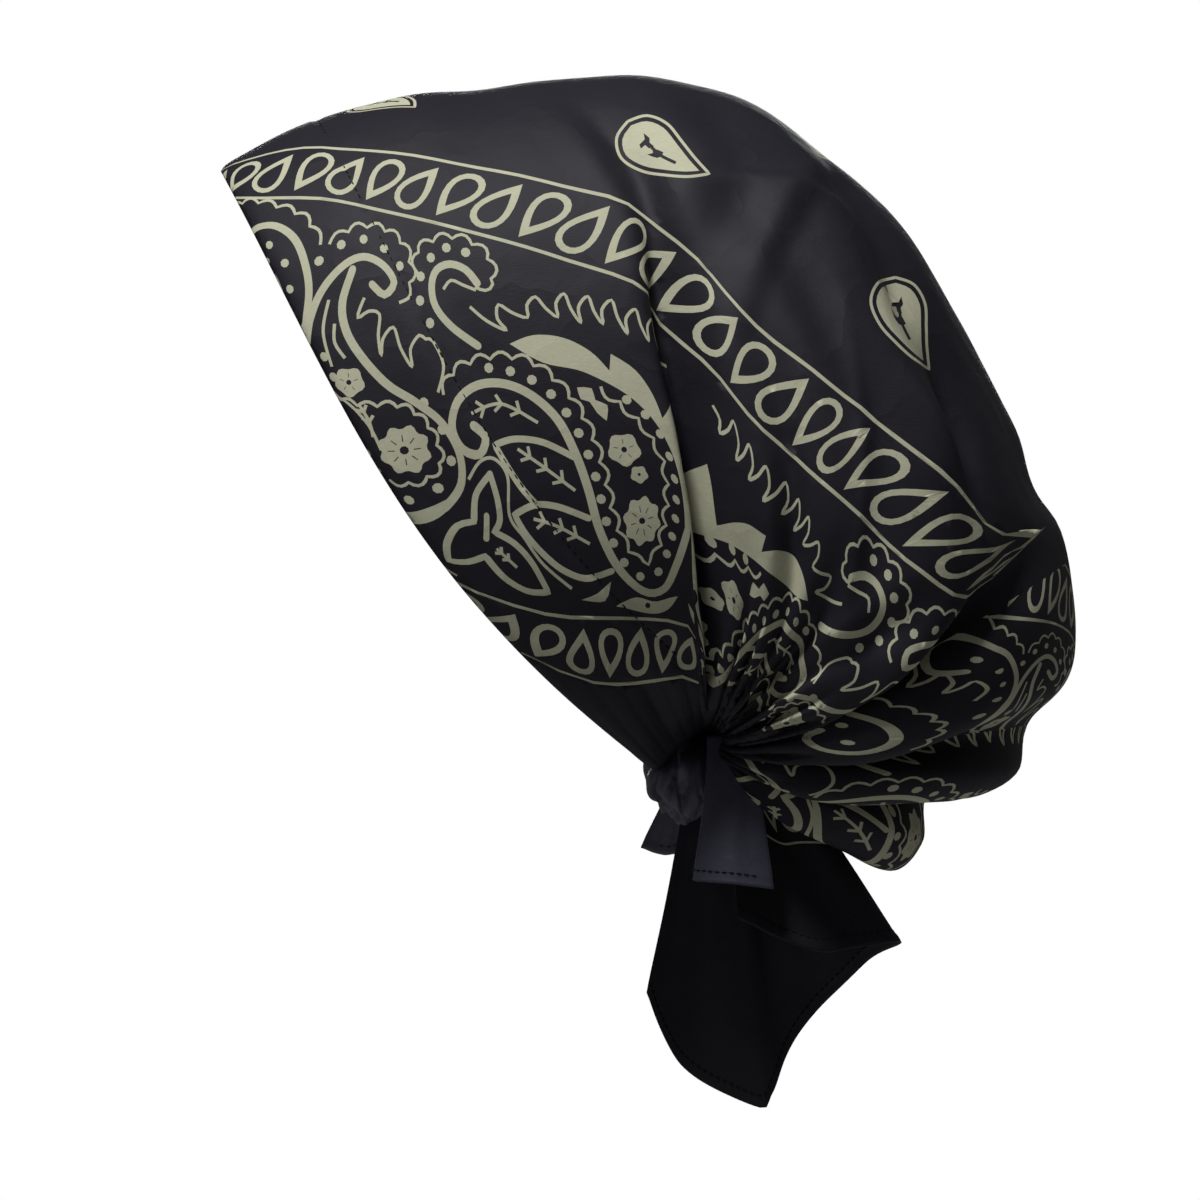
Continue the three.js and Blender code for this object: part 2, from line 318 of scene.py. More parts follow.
class ClothLay:
    """Carries places on the flat cloth to rows and degrees of the crown, through a fine chart of it."""

    ROW_STEP = 0.1
    DEG_STEP = 2.0
    FIRST_DEG = -6.0
    LAST_DEG = 174.0
    SPARE_ROWS = 0.3
    SPARE_ROWS_IN_FRONT = 1.0
    ROUNDS = 4

    def __init__(self, form: CrownForm, strip: Strip) -> None:
        """Charts one strip of the crown.

        Args:
            form: the crown's surface.
            strip: the rows of the strip and how the cloth lies on them.
        """
        self.strip = strip
        spare = self.SPARE_ROWS_IN_FRONT if strip.first_row == 0.0 else self.SPARE_ROWS
        self.rows = np.arange(strip.first_row - spare, strip.last_row + self.SPARE_ROWS + 0.01, self.ROW_STEP)
        self.degs = np.arange(self.FIRST_DEG, self.LAST_DEG + 0.1, self.DEG_STEP)
        self.chart = self._flatten(form)
        self.tree = KDTree(self.chart.shape[0] * self.chart.shape[1])
        for index, (u, v) in enumerate(self.chart.reshape(-1, 2)):
            self.tree.insert((u, v, 0.0), index)
        self.tree.balance()

    def _flatten(self, form: CrownForm) -> np.ndarray:
        """The flat place (u, v) of every crossing of the chart."""
        rows, degs = np.meshgrid(self.rows, self.degs, indexing="ij")
        wide = np.arange(0.0, form.pole_deg + 0.1, 1.0)
        solid = np.clip(rows[:, :1], 0, form.last_row)
        line = form.base(solid, wide[None, :], creased=False)
        lengths = np.linalg.norm(np.diff(line, axis=1), axis=-1)
        run = np.concatenate([np.zeros((len(rows), 1)), np.cumsum(lengths, axis=1)], axis=1)

        def length_at(row_index: int, deg: np.ndarray) -> np.ndarray:
            """The length of cloth from the middle line, going on straight past both ends."""
            inside = np.interp(deg, wide, run[row_index])
            first, last = run[row_index, 1], run[row_index, -1] - run[row_index, -2]
            return inside + np.minimum(deg, 0) * first + np.maximum(deg - wide[-1], 0) * last

        chart = np.zeros((*rows.shape, 2))
        lay = {name: self.strip.column(name, self.rows) for name in Lay._fields}
        for i in range(len(self.rows)):
            places = length_at(i, self.degs)
            bend = max(float(length_at(i, lay["bend_deg"][i])), 1.0)
            low = float(length_at(i, lay["low_deg"][i]))
            upper, lower = places / bend, (places - bend) / (low - bend)
            for axis, name in enumerate("uv"):
                top, mid, end = (lay[f"{place}_{name}"][i] for place in ("top", "bend", "low"))
                chart[i, :, axis] = np.where(
                    places < bend, top + (mid - top) * upper, mid + (end - mid) * lower)
        return chart

    def place(self, flat: np.ndarray) -> np.ndarray:
        """Finds rows and degrees for flat places.

        Args:
            flat: an array of (u, v).

        Returns:
            An array of (row, degree).
        """
        nearest = np.array([self.tree.find((u, v, 0.0))[1] for u, v in flat])
        at = np.stack(np.unravel_index(nearest, self.chart.shape[:2]), -1).astype(float)
        limit = np.array(self.chart.shape[:2]) - 1.001
        for _ in range(self.ROUNDS):
            at = np.clip(at, 0, limit)
            cell = at.astype(int)
            share = (at - cell)[:, :, None]
            i, j = cell[:, 0], cell[:, 1]
            here, down = self.chart[i, j], self.chart[i + 1, j]
            over, both = self.chart[i, j + 1], self.chart[i + 1, j + 1]
            s, t = share[:, 0], share[:, 1]
            value = here * (1 - s) * (1 - t) + down * s * (1 - t) + over * (1 - s) * t + both * s * t
            along = (down - here) * (1 - t) + (both - over) * t
            across = (over - here) * (1 - s) + (both - down) * s
            miss = flat - value
            det = along[:, 0] * across[:, 1] - along[:, 1] * across[:, 0]
            det = np.where(np.abs(det) < 1e-3, 1e-3, det)
            step = np.stack([
                (miss[:, 0] * across[:, 1] - miss[:, 1] * across[:, 0]) / det,
                (along[:, 0] * miss[:, 1] - along[:, 1] * miss[:, 0]) / det], -1)
            at = at + np.clip(step, -2.0, 2.0)
        at = np.clip(at, 0, limit)
        rows = self.rows[0] + at[:, 0] * self.ROW_STEP
        degs = self.degs[0] + at[:, 1] * self.DEG_STEP
        return np.stack([rows, degs], -1)


# ---------------- the print


class Ink(Enum):
    """What a printed shape does to the cloth under it."""

    OLIVE = "olive"
    BARE = "bare"


class Shape(NamedTuple):
    """One flat shape of the print."""

    outline: list[Flat]
    ink: Ink


@dataclass
class PrintChart:
    """The bandana print, drawn in flat millimetres by a few kinds of stroke."""

    FINEST_STEP = 1.3
    SHORTEST_STEP = 0.25
    ROUND_ENDED = 1.5
    DROP_SIDES = 22

    fine: float = 0.9
    bold: float = 2.2
    leaf_line: float = 1.8
    dot: float = 2.8
    shapes: list[Shape] = field(default_factory=list)

    def stroke(self, points: Sequence[Flat], width: float, closed: bool = False, smooth: bool = True,
               ink: Ink = Ink.OLIVE) -> None:
        """Draws a line of even width along a curve.

        Args:
            points: the points that the line passes, with a doubled point where it has a corner.
            width: the width of the line.
            closed: whether the line comes back to its start.
            smooth: whether it is curved, or straight from point to point.
            ink: what it does to the cloth.
        """
        path = smooth_path(points, max(self.FINEST_STEP, width * 0.7), closed) if smooth else list(points)
        path = [p for k, p in enumerate(path) if k == 0 or math.dist(p, path[k - 1]) > self.SHORTEST_STEP]
        line = np.array(path)
        side = sideways(line, closed) * width / 2
        left, right = line + side, line - side
        count = len(line) if closed else len(line) - 1
        for k in range(count):
            n = (k + 1) % len(line)
            self.shapes.append(Shape([tuple(left[k]), tuple(right[k]), tuple(right[n]), tuple(left[n])], ink))
        if not closed and width > self.ROUND_ENDED:
            self.spot(path[0], width)
            self.spot(path[-1], width)

    def spot(self, centre: Flat, across: float, ink: Ink = Ink.OLIVE) -> None:
        """Prints a round spot."""
        sides = 10 if across > 2.9 else 8
        self.shapes.append(Shape([
            (centre[0] + across / 2 * math.cos(math.tau * k / sides),
             centre[1] + across / 2 * math.sin(math.tau * k / sides)) for k in range(sides)], ink))

    def blot(self, points: Sequence[Flat], ink: Ink = Ink.OLIVE) -> None:
        """Prints a solid shape inside a smooth outline."""
        self.shapes.append(Shape(smooth_path(points, 1.8, closed=True), ink))

    def dots_along(self, points: Sequence[Flat], count: int, across: float | None = None) -> None:
        """Prints evenly spaced dots along a curve."""
        path = np.array(smooth_path(points, 1.0))
        run = run_along(path)
        for at in np.linspace(0.0, run[-1], count):
            self.spot((float(np.interp(at, run, path[:, 0])), float(np.interp(at, run, path[:, 1]))),
                      across or self.dot)

    def scallops(self, points: Sequence[Flat], pitch: float = 6.5, height: float = 0.9) -> None:
        """Draws a fine line along a curve, bulging out to its left in small scallops."""
        path = np.array(smooth_path(points, 1.0))
        run = run_along(path)
        bays = max(1, round(run[-1] / pitch))
        at = np.linspace(0.0, run[-1], bays * 5 + 1)
        line = np.stack([np.interp(at, run, path[:, k]) for k in (0, 1)], -1)
        bulge = np.abs(np.sin(np.pi * bays * at / run[-1])) * 2 - 1
        line += sideways(line) * (bulge * height)[:, None]
        self.stroke([tuple(p) for p in line], self.fine, smooth=False)

    def drop(self, centre: Flat, turn_deg: float, length: float = 17.0, across: float = 10.6,
             wall: float = 1.85) -> None:
        """Prints the outline of a drop.

        Args:
            centre: the middle of the drop.
            turn_deg: the way its tip points, anticlockwise from +u.
            length: its length from the tip to the round end.
            across: its greatest width.
            wall: the width of its outline.
        """
        turn = math.radians(turn_deg)
        ahead, aside = (math.cos(turn), math.sin(turn)), (-math.sin(turn), math.cos(turn))

        def ring(long: float, wide: float, shift: float) -> list[Flat]:
            """One drop-shaped ring of the outline."""
            points = []
            for k in range(self.DROP_SIDES):
                t = math.tau * k / self.DROP_SIDES
                on = math.cos(t) * long / 2 + shift
                off = wide / 2 * 1.3 * math.sin(t) * math.sin(t / 2) ** 1.15
                points.append((centre[0] + on * ahead[0] + off * aside[0],
                               centre[1] + on * ahead[1] + off * aside[1]))
            return points

        outer = ring(length, across, 0.0)
        inner = ring(length - 3.1 * wall, across - 2 * wall, -0.55 * wall)
        for k in range(self.DROP_SIDES):
            n = (k + 1) % self.DROP_SIDES
            self.shapes.append(Shape([outer[k], inner[k], inner[n], outer[n]], Ink.OLIVE))

    def flower(self, centre: Flat, across: float, tall: float, petals: int) -> None:
        """Prints a round flower with lobed petals and a bare eye."""
        sides = petals * 5
        self.shapes.append(Shape([
            (centre[0] + across / 2 * (0.91 + 0.09 * math.cos(petals * a)) * math.cos(a),
             centre[1] + tall / 2 * (0.91 + 0.09 * math.cos(petals * a)) * math.sin(a))
            for a in (math.tau * k / sides for k in range(sides))], Ink.OLIVE))
        self.spot(centre, across * 0.17, Ink.BARE)
        if across > 8:
            for k in range(petals):
                a = math.tau * (k + 0.5) / petals
                self.shapes.append(Shape([
                    (centre[0] + across * r * math.cos(a + d), centre[1] + tall * r * math.sin(a + d))
                    for r, d in ((0.17, -0.06), (0.30, -0.03), (0.30, 0.03), (0.17, 0.06))], Ink.BARE))

    def sprig(self, points: Sequence[Flat], twigs: int = 3, reach: float = 3.0) -> None:
        """Draws a fine stem with pairs of short twigs that point back along it."""
        path = np.array(smooth_path(points, 1.0))
        self.stroke(points, self.fine)
        for k in range(twigs):
            at = int((k + 1) / (twigs + 1) * (len(path) - 1))
            way = path[min(at + 1, len(path) - 1)] - path[at - 1]
            heading = math.atan2(way[1], way[0])
            for side in (-1, 1):
                a = heading + side * 2.3
                tip = (path[at][0] + reach * math.cos(a), path[at][1] + reach * math.sin(a))
                self.stroke([tuple(path[at]), tip], self.fine, smooth=False)

    def flames(self, points: Sequence[Flat]) -> None:
        """Draws a fine line of flames through points that are tips and valleys by turns."""
        line: list[Flat] = []
        for k, (here, there) in enumerate(zip(points, points[1:])):
            bow = 0.20 if k % 2 else -0.06
            line += [here, ((here[0] + there[0]) / 2 - bow * (there[1] - here[1]),
                            (here[1] + there[1]) / 2 + bow * (there[0] - here[0]))]
        self.stroke([*line, points[-1]], self.fine)

    def mirrored(self, centre_u: float) -> list[Shape]:
        """The shapes turned over about a line across the strip."""
        return [Shape([(2 * centre_u - u, v) for u, v in reversed(shape.outline)], shape.ink)
                for shape in self.shapes]


class DropRow(NamedTuple):
    """A row of drops along the side of the border; they point up and down by turns."""

    v: float
    first_u: float
    pitch: float
    length: float
    across: float
    lean_deg: float


DROP_ROWS = (DropRow(157.3, 1.2, 12.15, 17.0, 10.6, 26), DropRow(37.6, 4.0, 9.6, 14.2, 8.8, 18))


@dataclass
class BorderPrint(PrintChart):
    """The border of the square: two bands of drops, with scrolls, flames and facing boteh between them.

    One half of a side is drawn and turned over for the other half; the bands and corners are drawn whole.
    """

    middle_u: float = 172.0
    band_lines: tuple[float, ...] = (28.5, 47.5, 147.0, 168.0)

    def scrolls(self) -> None:
        """The two hooked scrolls that spring from one stem beside the corner, and the third beside them."""
        self.stroke([(50, 90), (50, 106), (49, 119), (45, 128), (39, 135), (31, 138), (24, 135), (22, 128),
                     (26, 123), (32, 126)], self.bold)
        self.stroke([(50, 90), (51, 108), (52, 120), (56, 128), (62, 132), (69, 131), (73.5, 127), (71, 123),
                     (66.5, 125)], self.bold)
        self.blot([(50.5, 88), (50.5, 88), (47.5, 100), (49.5, 114), (52, 114), (52.5, 100)])
        self.dots_along([(32, 131.5), (38, 128), (42, 121), (44, 112), (44, 103)], 5)
        self.dots_along([(49, 129), (54, 134), (61, 137), (68, 136), (74.5, 132)], 5)
        self.scallops([(10, 143), (20, 146), (31, 144.5), (41, 141), (48.5, 134)], 7.5, 0.8)
        self.scallops([(50, 134.5), (57, 140), (66, 142), (75, 138.5), (79.5, 130), (77, 121.5)], 6.5)
        self.scallops([(80, 131), (79.5, 138), (87, 143.5), (95, 144.5), (102, 141), (104.5, 134),
                       (100, 130.5)], 6.2)
        self.stroke([(100, 130.5), (96, 131), (92, 131.5), (90, 128.5)], self.fine)
        self.stroke([(100, 132.5), (96, 135.5), (91, 136), (87, 133.5), (86, 129), (88, 123.5), (94, 119),
                     (103, 115.5)], self.bold)
        self.dots_along([(84.5, 136.5), (88.5, 140.3), (95, 140.5)], 3, 2.9)
        self.dots_along([(82, 130.5), (82.5, 124.5), (87, 118.5)], 3, 2.9)
        self.stroke([(55, 119), (56, 110), (61, 101)], self.fine)
        self.stroke([(58.5, 113), (60, 108), (64, 104.5)], self.fine)

    def corner_boteh(self) -> None:
        """The boteh beside the corner, which the front edge cuts, with its flowers and dots."""
        self.stroke([(59.5, 128), (59, 119), (62, 112), (68, 106), (77, 100), (86, 97), (94, 93.5), (100, 87),
                     (101.5, 79), (98.5, 71)], self.bold)
        self.blot([(101.5, 77), (101.5, 77), (98, 68), (91, 61), (82, 59), (90, 65), (96, 71)])
        self.scallops([(60, 92), (70, 93), (82, 95.5), (91, 91.5), (95.5, 83), (91, 76), (84, 73)], 5.5, 0.7)
        self.dots_along([(88, 97.5), (95.5, 90.5), (98, 83.5), (95.5, 75.5), (90, 70)], 5, 2.9)
        self.dots_along([(58, 103), (62, 98)], 2, 2.9)
        self.flower((66.8, 98.2), 9, 9, 5)
        self.flower((85.5, 84), 14, 14, 8)
        self.sprig([(71, 93), (75, 89), (77, 85)], 2, 2.2)

    def big_boteh(self) -> None:
        """The great curled boteh by the middle of the side, with its feathers, dots and flowers."""
        self.stroke([(104, 94.5), (108, 92), (106.5, 87.5), (101, 88), (97.3, 93), (98.5, 100), (104, 105),
                     (112, 107), (120, 105.5), (128, 100.5), (134, 92.5), (139, 83), (143.5, 72), (150, 62),
                     (158, 56.3), (165, 57.5), (168, 66), (170, 78), (171.5, 90)], self.bold + 0.2)
        self.blot([(112, 118), (112, 118), (118, 122), (126, 123.5), (134, 122), (140, 118), (140, 118),
                   (139.5, 123), (139.5, 123), (147, 120.5), (153, 115.5), (157, 110), (157, 110),
                   (160.5, 118), (163, 122.5), (163, 122.5), (167, 113), (169.5, 101), (171.5, 88),
                   (170, 76), (170, 76), (168, 88), (164, 98), (158, 105), (151, 110), (143, 113.5),
                   (133, 115.5), (122, 115)])
        self.scallops([(93, 101), (96, 107.5), (104, 112.5), (114, 115), (122, 113.5), (131, 107.5),
                       (138, 99), (143, 89), (147, 78), (151.5, 69.5), (158, 65), (161.5, 71), (162, 84),
                       (159.5, 95.5), (154, 102.5), (147, 107.5), (138, 112)])
        self.dots_along([(107, 110.3), (115, 110.6), (123, 108.3), (130, 103), (136, 95.5), (141, 86),
                         (145, 75), (150, 65.5), (156.5, 60.6), (162, 62), (164.7, 70), (165.6, 82),
                         (163.5, 94), (158.5, 103), (152.5, 108), (146, 111)], 23, 2.8)
        self.flower((147.5, 96.5), 10, 10, 5)
        self.flower((152.8, 90.3), 5.4, 5.4, 5)
        self.flower((155.5, 77), 11.5, 15, 8)
        self.blot([(132, 110.5), (132, 110.5), (136, 111.5), (137.5, 108.5), (141, 108), (141.5, 103.5),
                   (141.5, 103.5), (138.5, 105), (136, 107.5), (133.5, 107.5)])
        self.sprig([(103, 97.5), (112, 101.5), (123, 98.5)])

    def leaves(self) -> None:
        """The two leaves and the tulip in the curl of the great boteh."""
        self.stroke([(134, 91), (125, 93.5), (117, 93), (111, 90.5), (111, 90.5), (114, 87), (119.5, 81),
                     (125, 76.5)], self.leaf_line)
        self.sprig([(118, 90.5), (126, 87), (135.5, 82)])
        self.stroke([(140, 75), (131, 77), (124, 76.5), (118, 73.5), (118, 73.5), (122, 68.5), (128, 63.5),
                     (134, 60), (141, 58.5), (148, 61)], self.leaf_line)
        self.sprig([(124, 73), (132, 71.5), (141, 68)])
        self.stroke([(110, 83), (110, 83), (106, 77), (106.2, 69.5), (106.2, 69.5), (102.5, 67), (101.5, 61),
                     (103, 55), (103, 55), (107, 57), (110.5, 60.5), (110.5, 60.5), (116, 55.5), (122, 53.3),
                     (128.5, 54), (128.5, 54), (123.5, 61.5), (118, 66), (112, 68), (112, 68), (113.5, 71.5),
                     (112.5, 77), (110, 83)], self.leaf_line)
        self.stroke([(109.5, 72), (110, 65.5)], 1.6)
        self.sprig([(113, 63.5), (119, 59.5)], 2, 1.8)
        self.stroke([(103.5, 80.5), (106.5, 85.5), (111, 87), (115.5, 83), (116.5, 73), (121, 68),
                     (127, 61.5), (136, 55.5)], self.fine)
        self.stroke([(94, 57), (100, 51.5), (106, 50.5)], self.fine)

    def flame_lines(self) -> None:
        """The two lines of flames above the scrolls and the great boteh."""
        self.flames([(65, 121), (64.5, 115.5), (70.5, 117.5), (73.5, 107), (75.5, 115), (83, 106),
                     (84, 114.5), (88.5, 114), (92, 101)])
        self.flames([(99, 125.5), (110.5, 121.5), (107, 128), (115.5, 126.5), (116.5, 133), (123.5, 129),
                     (124, 136.5), (130, 129.5), (130.5, 138), (136, 131), (137, 139), (143, 130.5),
                     (144, 139), (149.5, 131.5), (151, 140), (155.5, 132), (158.5, 140.5), (162.5, 133),
                     (166, 138)])

    def foot_motifs(self) -> None:
        """The solid leaves and arches between the great boteh and the outer band."""
        self.blot([(150, 51), (150, 51), (156, 54), (163, 53.5), (170, 56), (170, 56), (167, 51),
                   (160, 49.5)])
        self.spot((160, 52), 1.8, Ink.BARE)
        self.blot([(139, 52.5), (139, 52.5), (144, 54.5), (148, 58), (148, 58), (146.5, 52.5)])
        self.dots_along([(86, 52.5), (78, 53.5), (70, 55)], 3, 2.6)

    def corner_leaves(self) -> None:
        """The leaves, dots and flames beside the corner, which only the rolls at the back show."""
        self.blot([(8, 60), (8, 60), (17, 58.5), (27, 63), (36, 72), (41, 84), (41, 84), (31, 82.5), (20, 76),
                   (12, 68)])
        self.stroke([(14, 63.5), (24, 70), (34, 79)], 1.2, ink=Ink.BARE)
        self.stroke([(41, 61), (47, 67), (50, 75), (47, 84), (47, 84), (42, 77), (39.5, 69), (41, 61)], 1.6)
        self.sprig([(43, 65), (45, 71), (46, 78)], 2, 2.0)
        self.stroke([(2, 84), (9, 94), (18, 100), (28, 100), (34, 93), (33, 85), (27, 81), (21, 84),
                     (21, 90)], self.bold)
        self.dots_along([(8, 85), (13, 92), (19, 95), (26, 94), (28, 88)], 4, 2.7)
        self.scallops([(1, 92), (8, 103), (19, 108.5), (31, 107), (39, 99), (40.5, 88)], 5.6, 0.8)
        self.flames([(2, 104), (6, 112), (10, 108), (13.5, 118), (17.5, 112.5), (21, 123), (25, 116),
                     (28.5, 124), (32, 116), (35.5, 122), (39, 112)])
        self.blot([(58, 80), (58, 80), (55, 71), (58, 62), (66, 57.5), (74, 60), (77, 68), (73, 75), (66, 77),
                   (66, 77), (70, 70), (67, 64.5), (62, 66), (61, 73)])
        self.scallops([(52, 80), (50, 69), (54, 59), (64, 53.5), (76, 55), (82, 64), (80, 75)], 5.0, 0.7)
        self.dots_along([(56.5, 85), (63, 85.5), (70, 83), (76, 78.5)], 5, 2.6)
        self.flower((38, 53), 8.5, 8.5, 6)
        self.dots_along([(14, 52), (20, 51.5), (26, 52)], 3, 2.6)
        self.stroke([(62, 92), (68, 92), (75, 88), (80, 82)], self.fine)
        self.scallops([(2, 124), (8, 131), (12, 138), (13, 145)], 5.5)
        self.dots_along([(5, 120), (11, 127), (16, 133)], 3, 2.6)

    def corner(self) -> None:
        """The design that fills the border's corner: a great flower on the diagonal, with leaves and dots."""
        end = 2 * self.middle_u
        centre = (end + 44, BAND_V - 44)
        self.flower(centre, 27, 27, 8)
        self.stroke([(centre[0] + 20 * math.cos(a), centre[1] + 20 * math.sin(a))
                     for a in (math.tau * k / 12 for k in range(12))], self.fine, closed=True)
        for k in range(14):
            a = math.tau * k / 14
            self.spot((centre[0] + 24.5 * math.cos(a), centre[1] + 24.5 * math.sin(a)), 2.9)
        for swap in (False, True):
            self._corner_half(end, swap)

    def _corner_half(self, end: float, swap: bool) -> None:
        """One side of the corner's design.

        Args:
            end: where the corner starts along the strip.
            swap: whether it is turned over about the diagonal.
        """
        def on(points: Sequence[Flat]) -> list[Flat]:
            """Carries points of the corner to the strip."""
            return [(end + (BAND_V - v if swap else u), BAND_V - u if swap else v) for u, v in points]

        self.stroke(on([(4, 96), (14, 84), (30, 78), (44, 70), (52, 58), (46, 50), (40, 56)]), 2.6)
        self.blot(on([(2, 92), (2, 92), (12, 76), (28, 68), (40, 62), (40, 62), (26, 72), (12, 83)]))
        self.dots_along(on([(8, 97), (18, 88), (32, 84), (46, 78)]), 6, 2.9)
        self.sprig(on([(4, 128), (14, 120), (18, 108)]))
        self.flames(on([(2, 142), (10, 136), (11, 143), (18, 136), (20, 142), (26, 134), (29, 139),
                        (34, 130)]))
        self.sprig(on([(20, 58), (30, 56), (38, 52)]), 2, 2.4)

    def bands(self) -> None:
        """The bands of drops along the side, between their fine lines."""
        start, end, pieces = -24.0, 2 * self.middle_u, 60
        for v in self.band_lines:
            reach = end + BAND_V - v if v < 100 else end
            line = [(start + k * (reach - start) / pieces, v) for k in range(pieces + 1)]
            self.stroke(line, self.fine + 0.15, smooth=False)
        for row in DROP_ROWS:
            reach = end + BAND_V - row.v if row.v < 100 else end
            for k in range(-2, int((reach - row.first_u) / row.pitch) + 1):
                u = row.first_u + k * row.pitch
                lean = row.lean_deg - 13.0 * min(max(u / 180.0, 0.0), 1.0)
                self.drop((u, row.v), (270 if k % 2 else 90) - lean, row.length, row.across)

    def draw(self) -> list[Shape]:
        """Draws the whole side with its far corner.

        Returns:
            Every shape of it.
        """
        half = type(self)()
        for part in (half.scrolls, half.corner_boteh, half.big_boteh, half.leaves, half.flame_lines,
                     half.foot_motifs, half.corner_leaves):
            part()
        self.bands()
        self.corner()
        return [*half.shapes, *half.mirrored(self.middle_u), *self.shapes]


# ---------------- materials


class NodeSheet:
    """A node tree with short ways to add nodes and join them."""

    def __init__(self, tree: bpy.types.NodeTree) -> None:
        """Holds the tree."""
        self.tree = tree

    def add(self, kind: str, **settings: object) -> bpy.types.Node:
        """Adds a node and sets its attributes."""
        node = self.tree.nodes.new(kind)
        for name, value in settings.items():
            setattr(node, name, value)
        return node

    def link(self, source: bpy.types.NodeSocket, target: bpy.types.NodeSocket) -> None:
        """Joins two sockets."""
        self.tree.links.new(source, target)

    def math(self, operation: str, *values: object) -> bpy.types.NodeSocket:
        """Adds a sum of sockets and numbers, and gives its result."""
        node = self.add("ShaderNodeMath", operation=operation)
        for socket, value in zip(node.inputs, values):
            if isinstance(value, bpy.types.NodeSocket):
                self.link(value, socket)
            else:
                socket.default_value = value
        return node.outputs[0]

    def noise(self, place: bpy.types.NodeSocket, scale: float, detail: float = 2.0) -> bpy.types.NodeSocket:
        """Adds a noise texture at a place, and gives its value."""
        node = self.add("ShaderNodeTexNoise")
        self.link(place, node.inputs["Vector"])
        node.inputs["Scale"].default_value = scale
        node.inputs["Detail"].default_value = detail
        return node.outputs["Fac"]


def new_group(name: str, outputs: Sequence[str], **inputs: float) -> NodeSheet:
    """Starts a node group with number sockets."""
    tree = bpy.data.node_groups.new(name, "ShaderNodeTree")
    for title, value in inputs.items():
        tree.interface.new_socket(title, in_out="INPUT", socket_type="NodeSocketFloat").default_value = value
    for title in outputs:
        tree.interface.new_socket(title, in_out="OUTPUT", socket_type="NodeSocketFloat")
    return NodeSheet(tree)


YARN_STRETCH = (1.0, 5.0, 1.0)
SLUB_SCALE = 420.0
WORN_SCALE = 900.0


def weave_group() -> bpy.types.NodeTree:
    """A plain weave, read from the flat cloth: the height of its threads and the unevenness of its yarn."""
    sheet = new_group("plain_weave", ("Height", "Slub"), Pitch=0.0006)
    start, end = sheet.add("NodeGroupInput"), sheet.add("NodeGroupOutput")
    flat = sheet.add("ShaderNodeUVMap", uv_map="Flat").outputs["UV"]
    split = sheet.add("ShaderNodeSeparateXYZ")
    sheet.link(flat, split.inputs["Vector"])
    waves = []
    for axis in ("X", "Y"):
        turns = sheet.math("DIVIDE", split.outputs[axis], start.outputs["Pitch"])
        waves.append(sheet.math("SINE", sheet.math("MULTIPLY", turns, math.tau)))
    threads = sheet.math("MULTIPLY", waves[0], waves[1])
    stretch = sheet.add("ShaderNodeMapping")
    sheet.link(flat, stretch.inputs["Vector"])
    stretch.inputs["Scale"].default_value = YARN_STRETCH
    slub = sheet.noise(stretch.outputs["Vector"], SLUB_SCALE, 3.0)
    height = sheet.math("ADD", sheet.math("MULTIPLY", threads, 0.5), sheet.math("MULTIPLY", slub, 1.2))
    sheet.link(height, end.inputs["Height"])
    sheet.link(slub, end.inputs["Slub"])
    return sheet.tree


def rumple_group() -> bpy.types.NodeTree:
    """The small creases of handled cloth, as a height and as a mask of worn places."""
    sheet = new_group("handled_cloth", ("Height", "Worn"), Size=0.014)
    start, end = sheet.add("NodeGroupInput"), sheet.add("NodeGroupOutput")
    place = sheet.add("ShaderNodeTexCoord").outputs["Object"]
    scaled = sheet.add("ShaderNodeVectorMath", operation="SCALE")
    sheet.link(place, scaled.inputs[0])
    sheet.link(sheet.math("DIVIDE", 1.0, start.outputs["Size"]), scaled.inputs["Scale"])
    soft = sheet.noise(scaled.outputs["Vector"], 1.0, 4.0)
    folds = sheet.noise(scaled.outputs["Vector"], 0.55)
    ridges = sheet.math("ABSOLUTE", sheet.math("SUBTRACT", folds, 0.5))
    ridges = sheet.math("POWER", sheet.math("SUBTRACT", 1.0, ridges), 9.0)
    sheet.link(sheet.math("ADD", soft, sheet.math("MULTIPLY", ridges, 0.8)), end.inputs["Height"])
    sheet.link(sheet.noise(place, WORN_SCALE), end.inputs["Worn"])
    return sheet.tree


@dataclass(frozen=True)
class Look:
    """The look of one cloth or thread: its two colours, its gloss and the strength of its relief."""

    name: str
    dark: Colour
    pale: Colour
    roughness: float
    shine: float
    sheen: float = 0.0
    weave: float = 0.0
    rumple: float = 0.0


class Finish(Enum):
    """The finishes of the scarf."""

    COTTON = Look("black_cotton", (0.0060, 0.0056, 0.0090), (0.0110, 0.0103, 0.0165),
                  roughness=0.62, shine=0.20, weave=0.35, rumple=0.22)
    PRINT = Look("olive_print", (0.310, 0.308, 0.222), (0.445, 0.441, 0.328),
                 roughness=0.82, shine=0.06, weave=0.25, rumple=0.20)
    SATIN = Look("black_satin", (0.0330, 0.0340, 0.0500), (0.0600, 0.0615, 0.0890),
                 roughness=0.50, shine=0.22, sheen=0.1, weave=0.12, rumple=0.30)
    THREAD = Look("dark_thread", (0.0040, 0.0038, 0.0050), (0.0070, 0.0066, 0.0090),
                  roughness=0.70, shine=0.08)


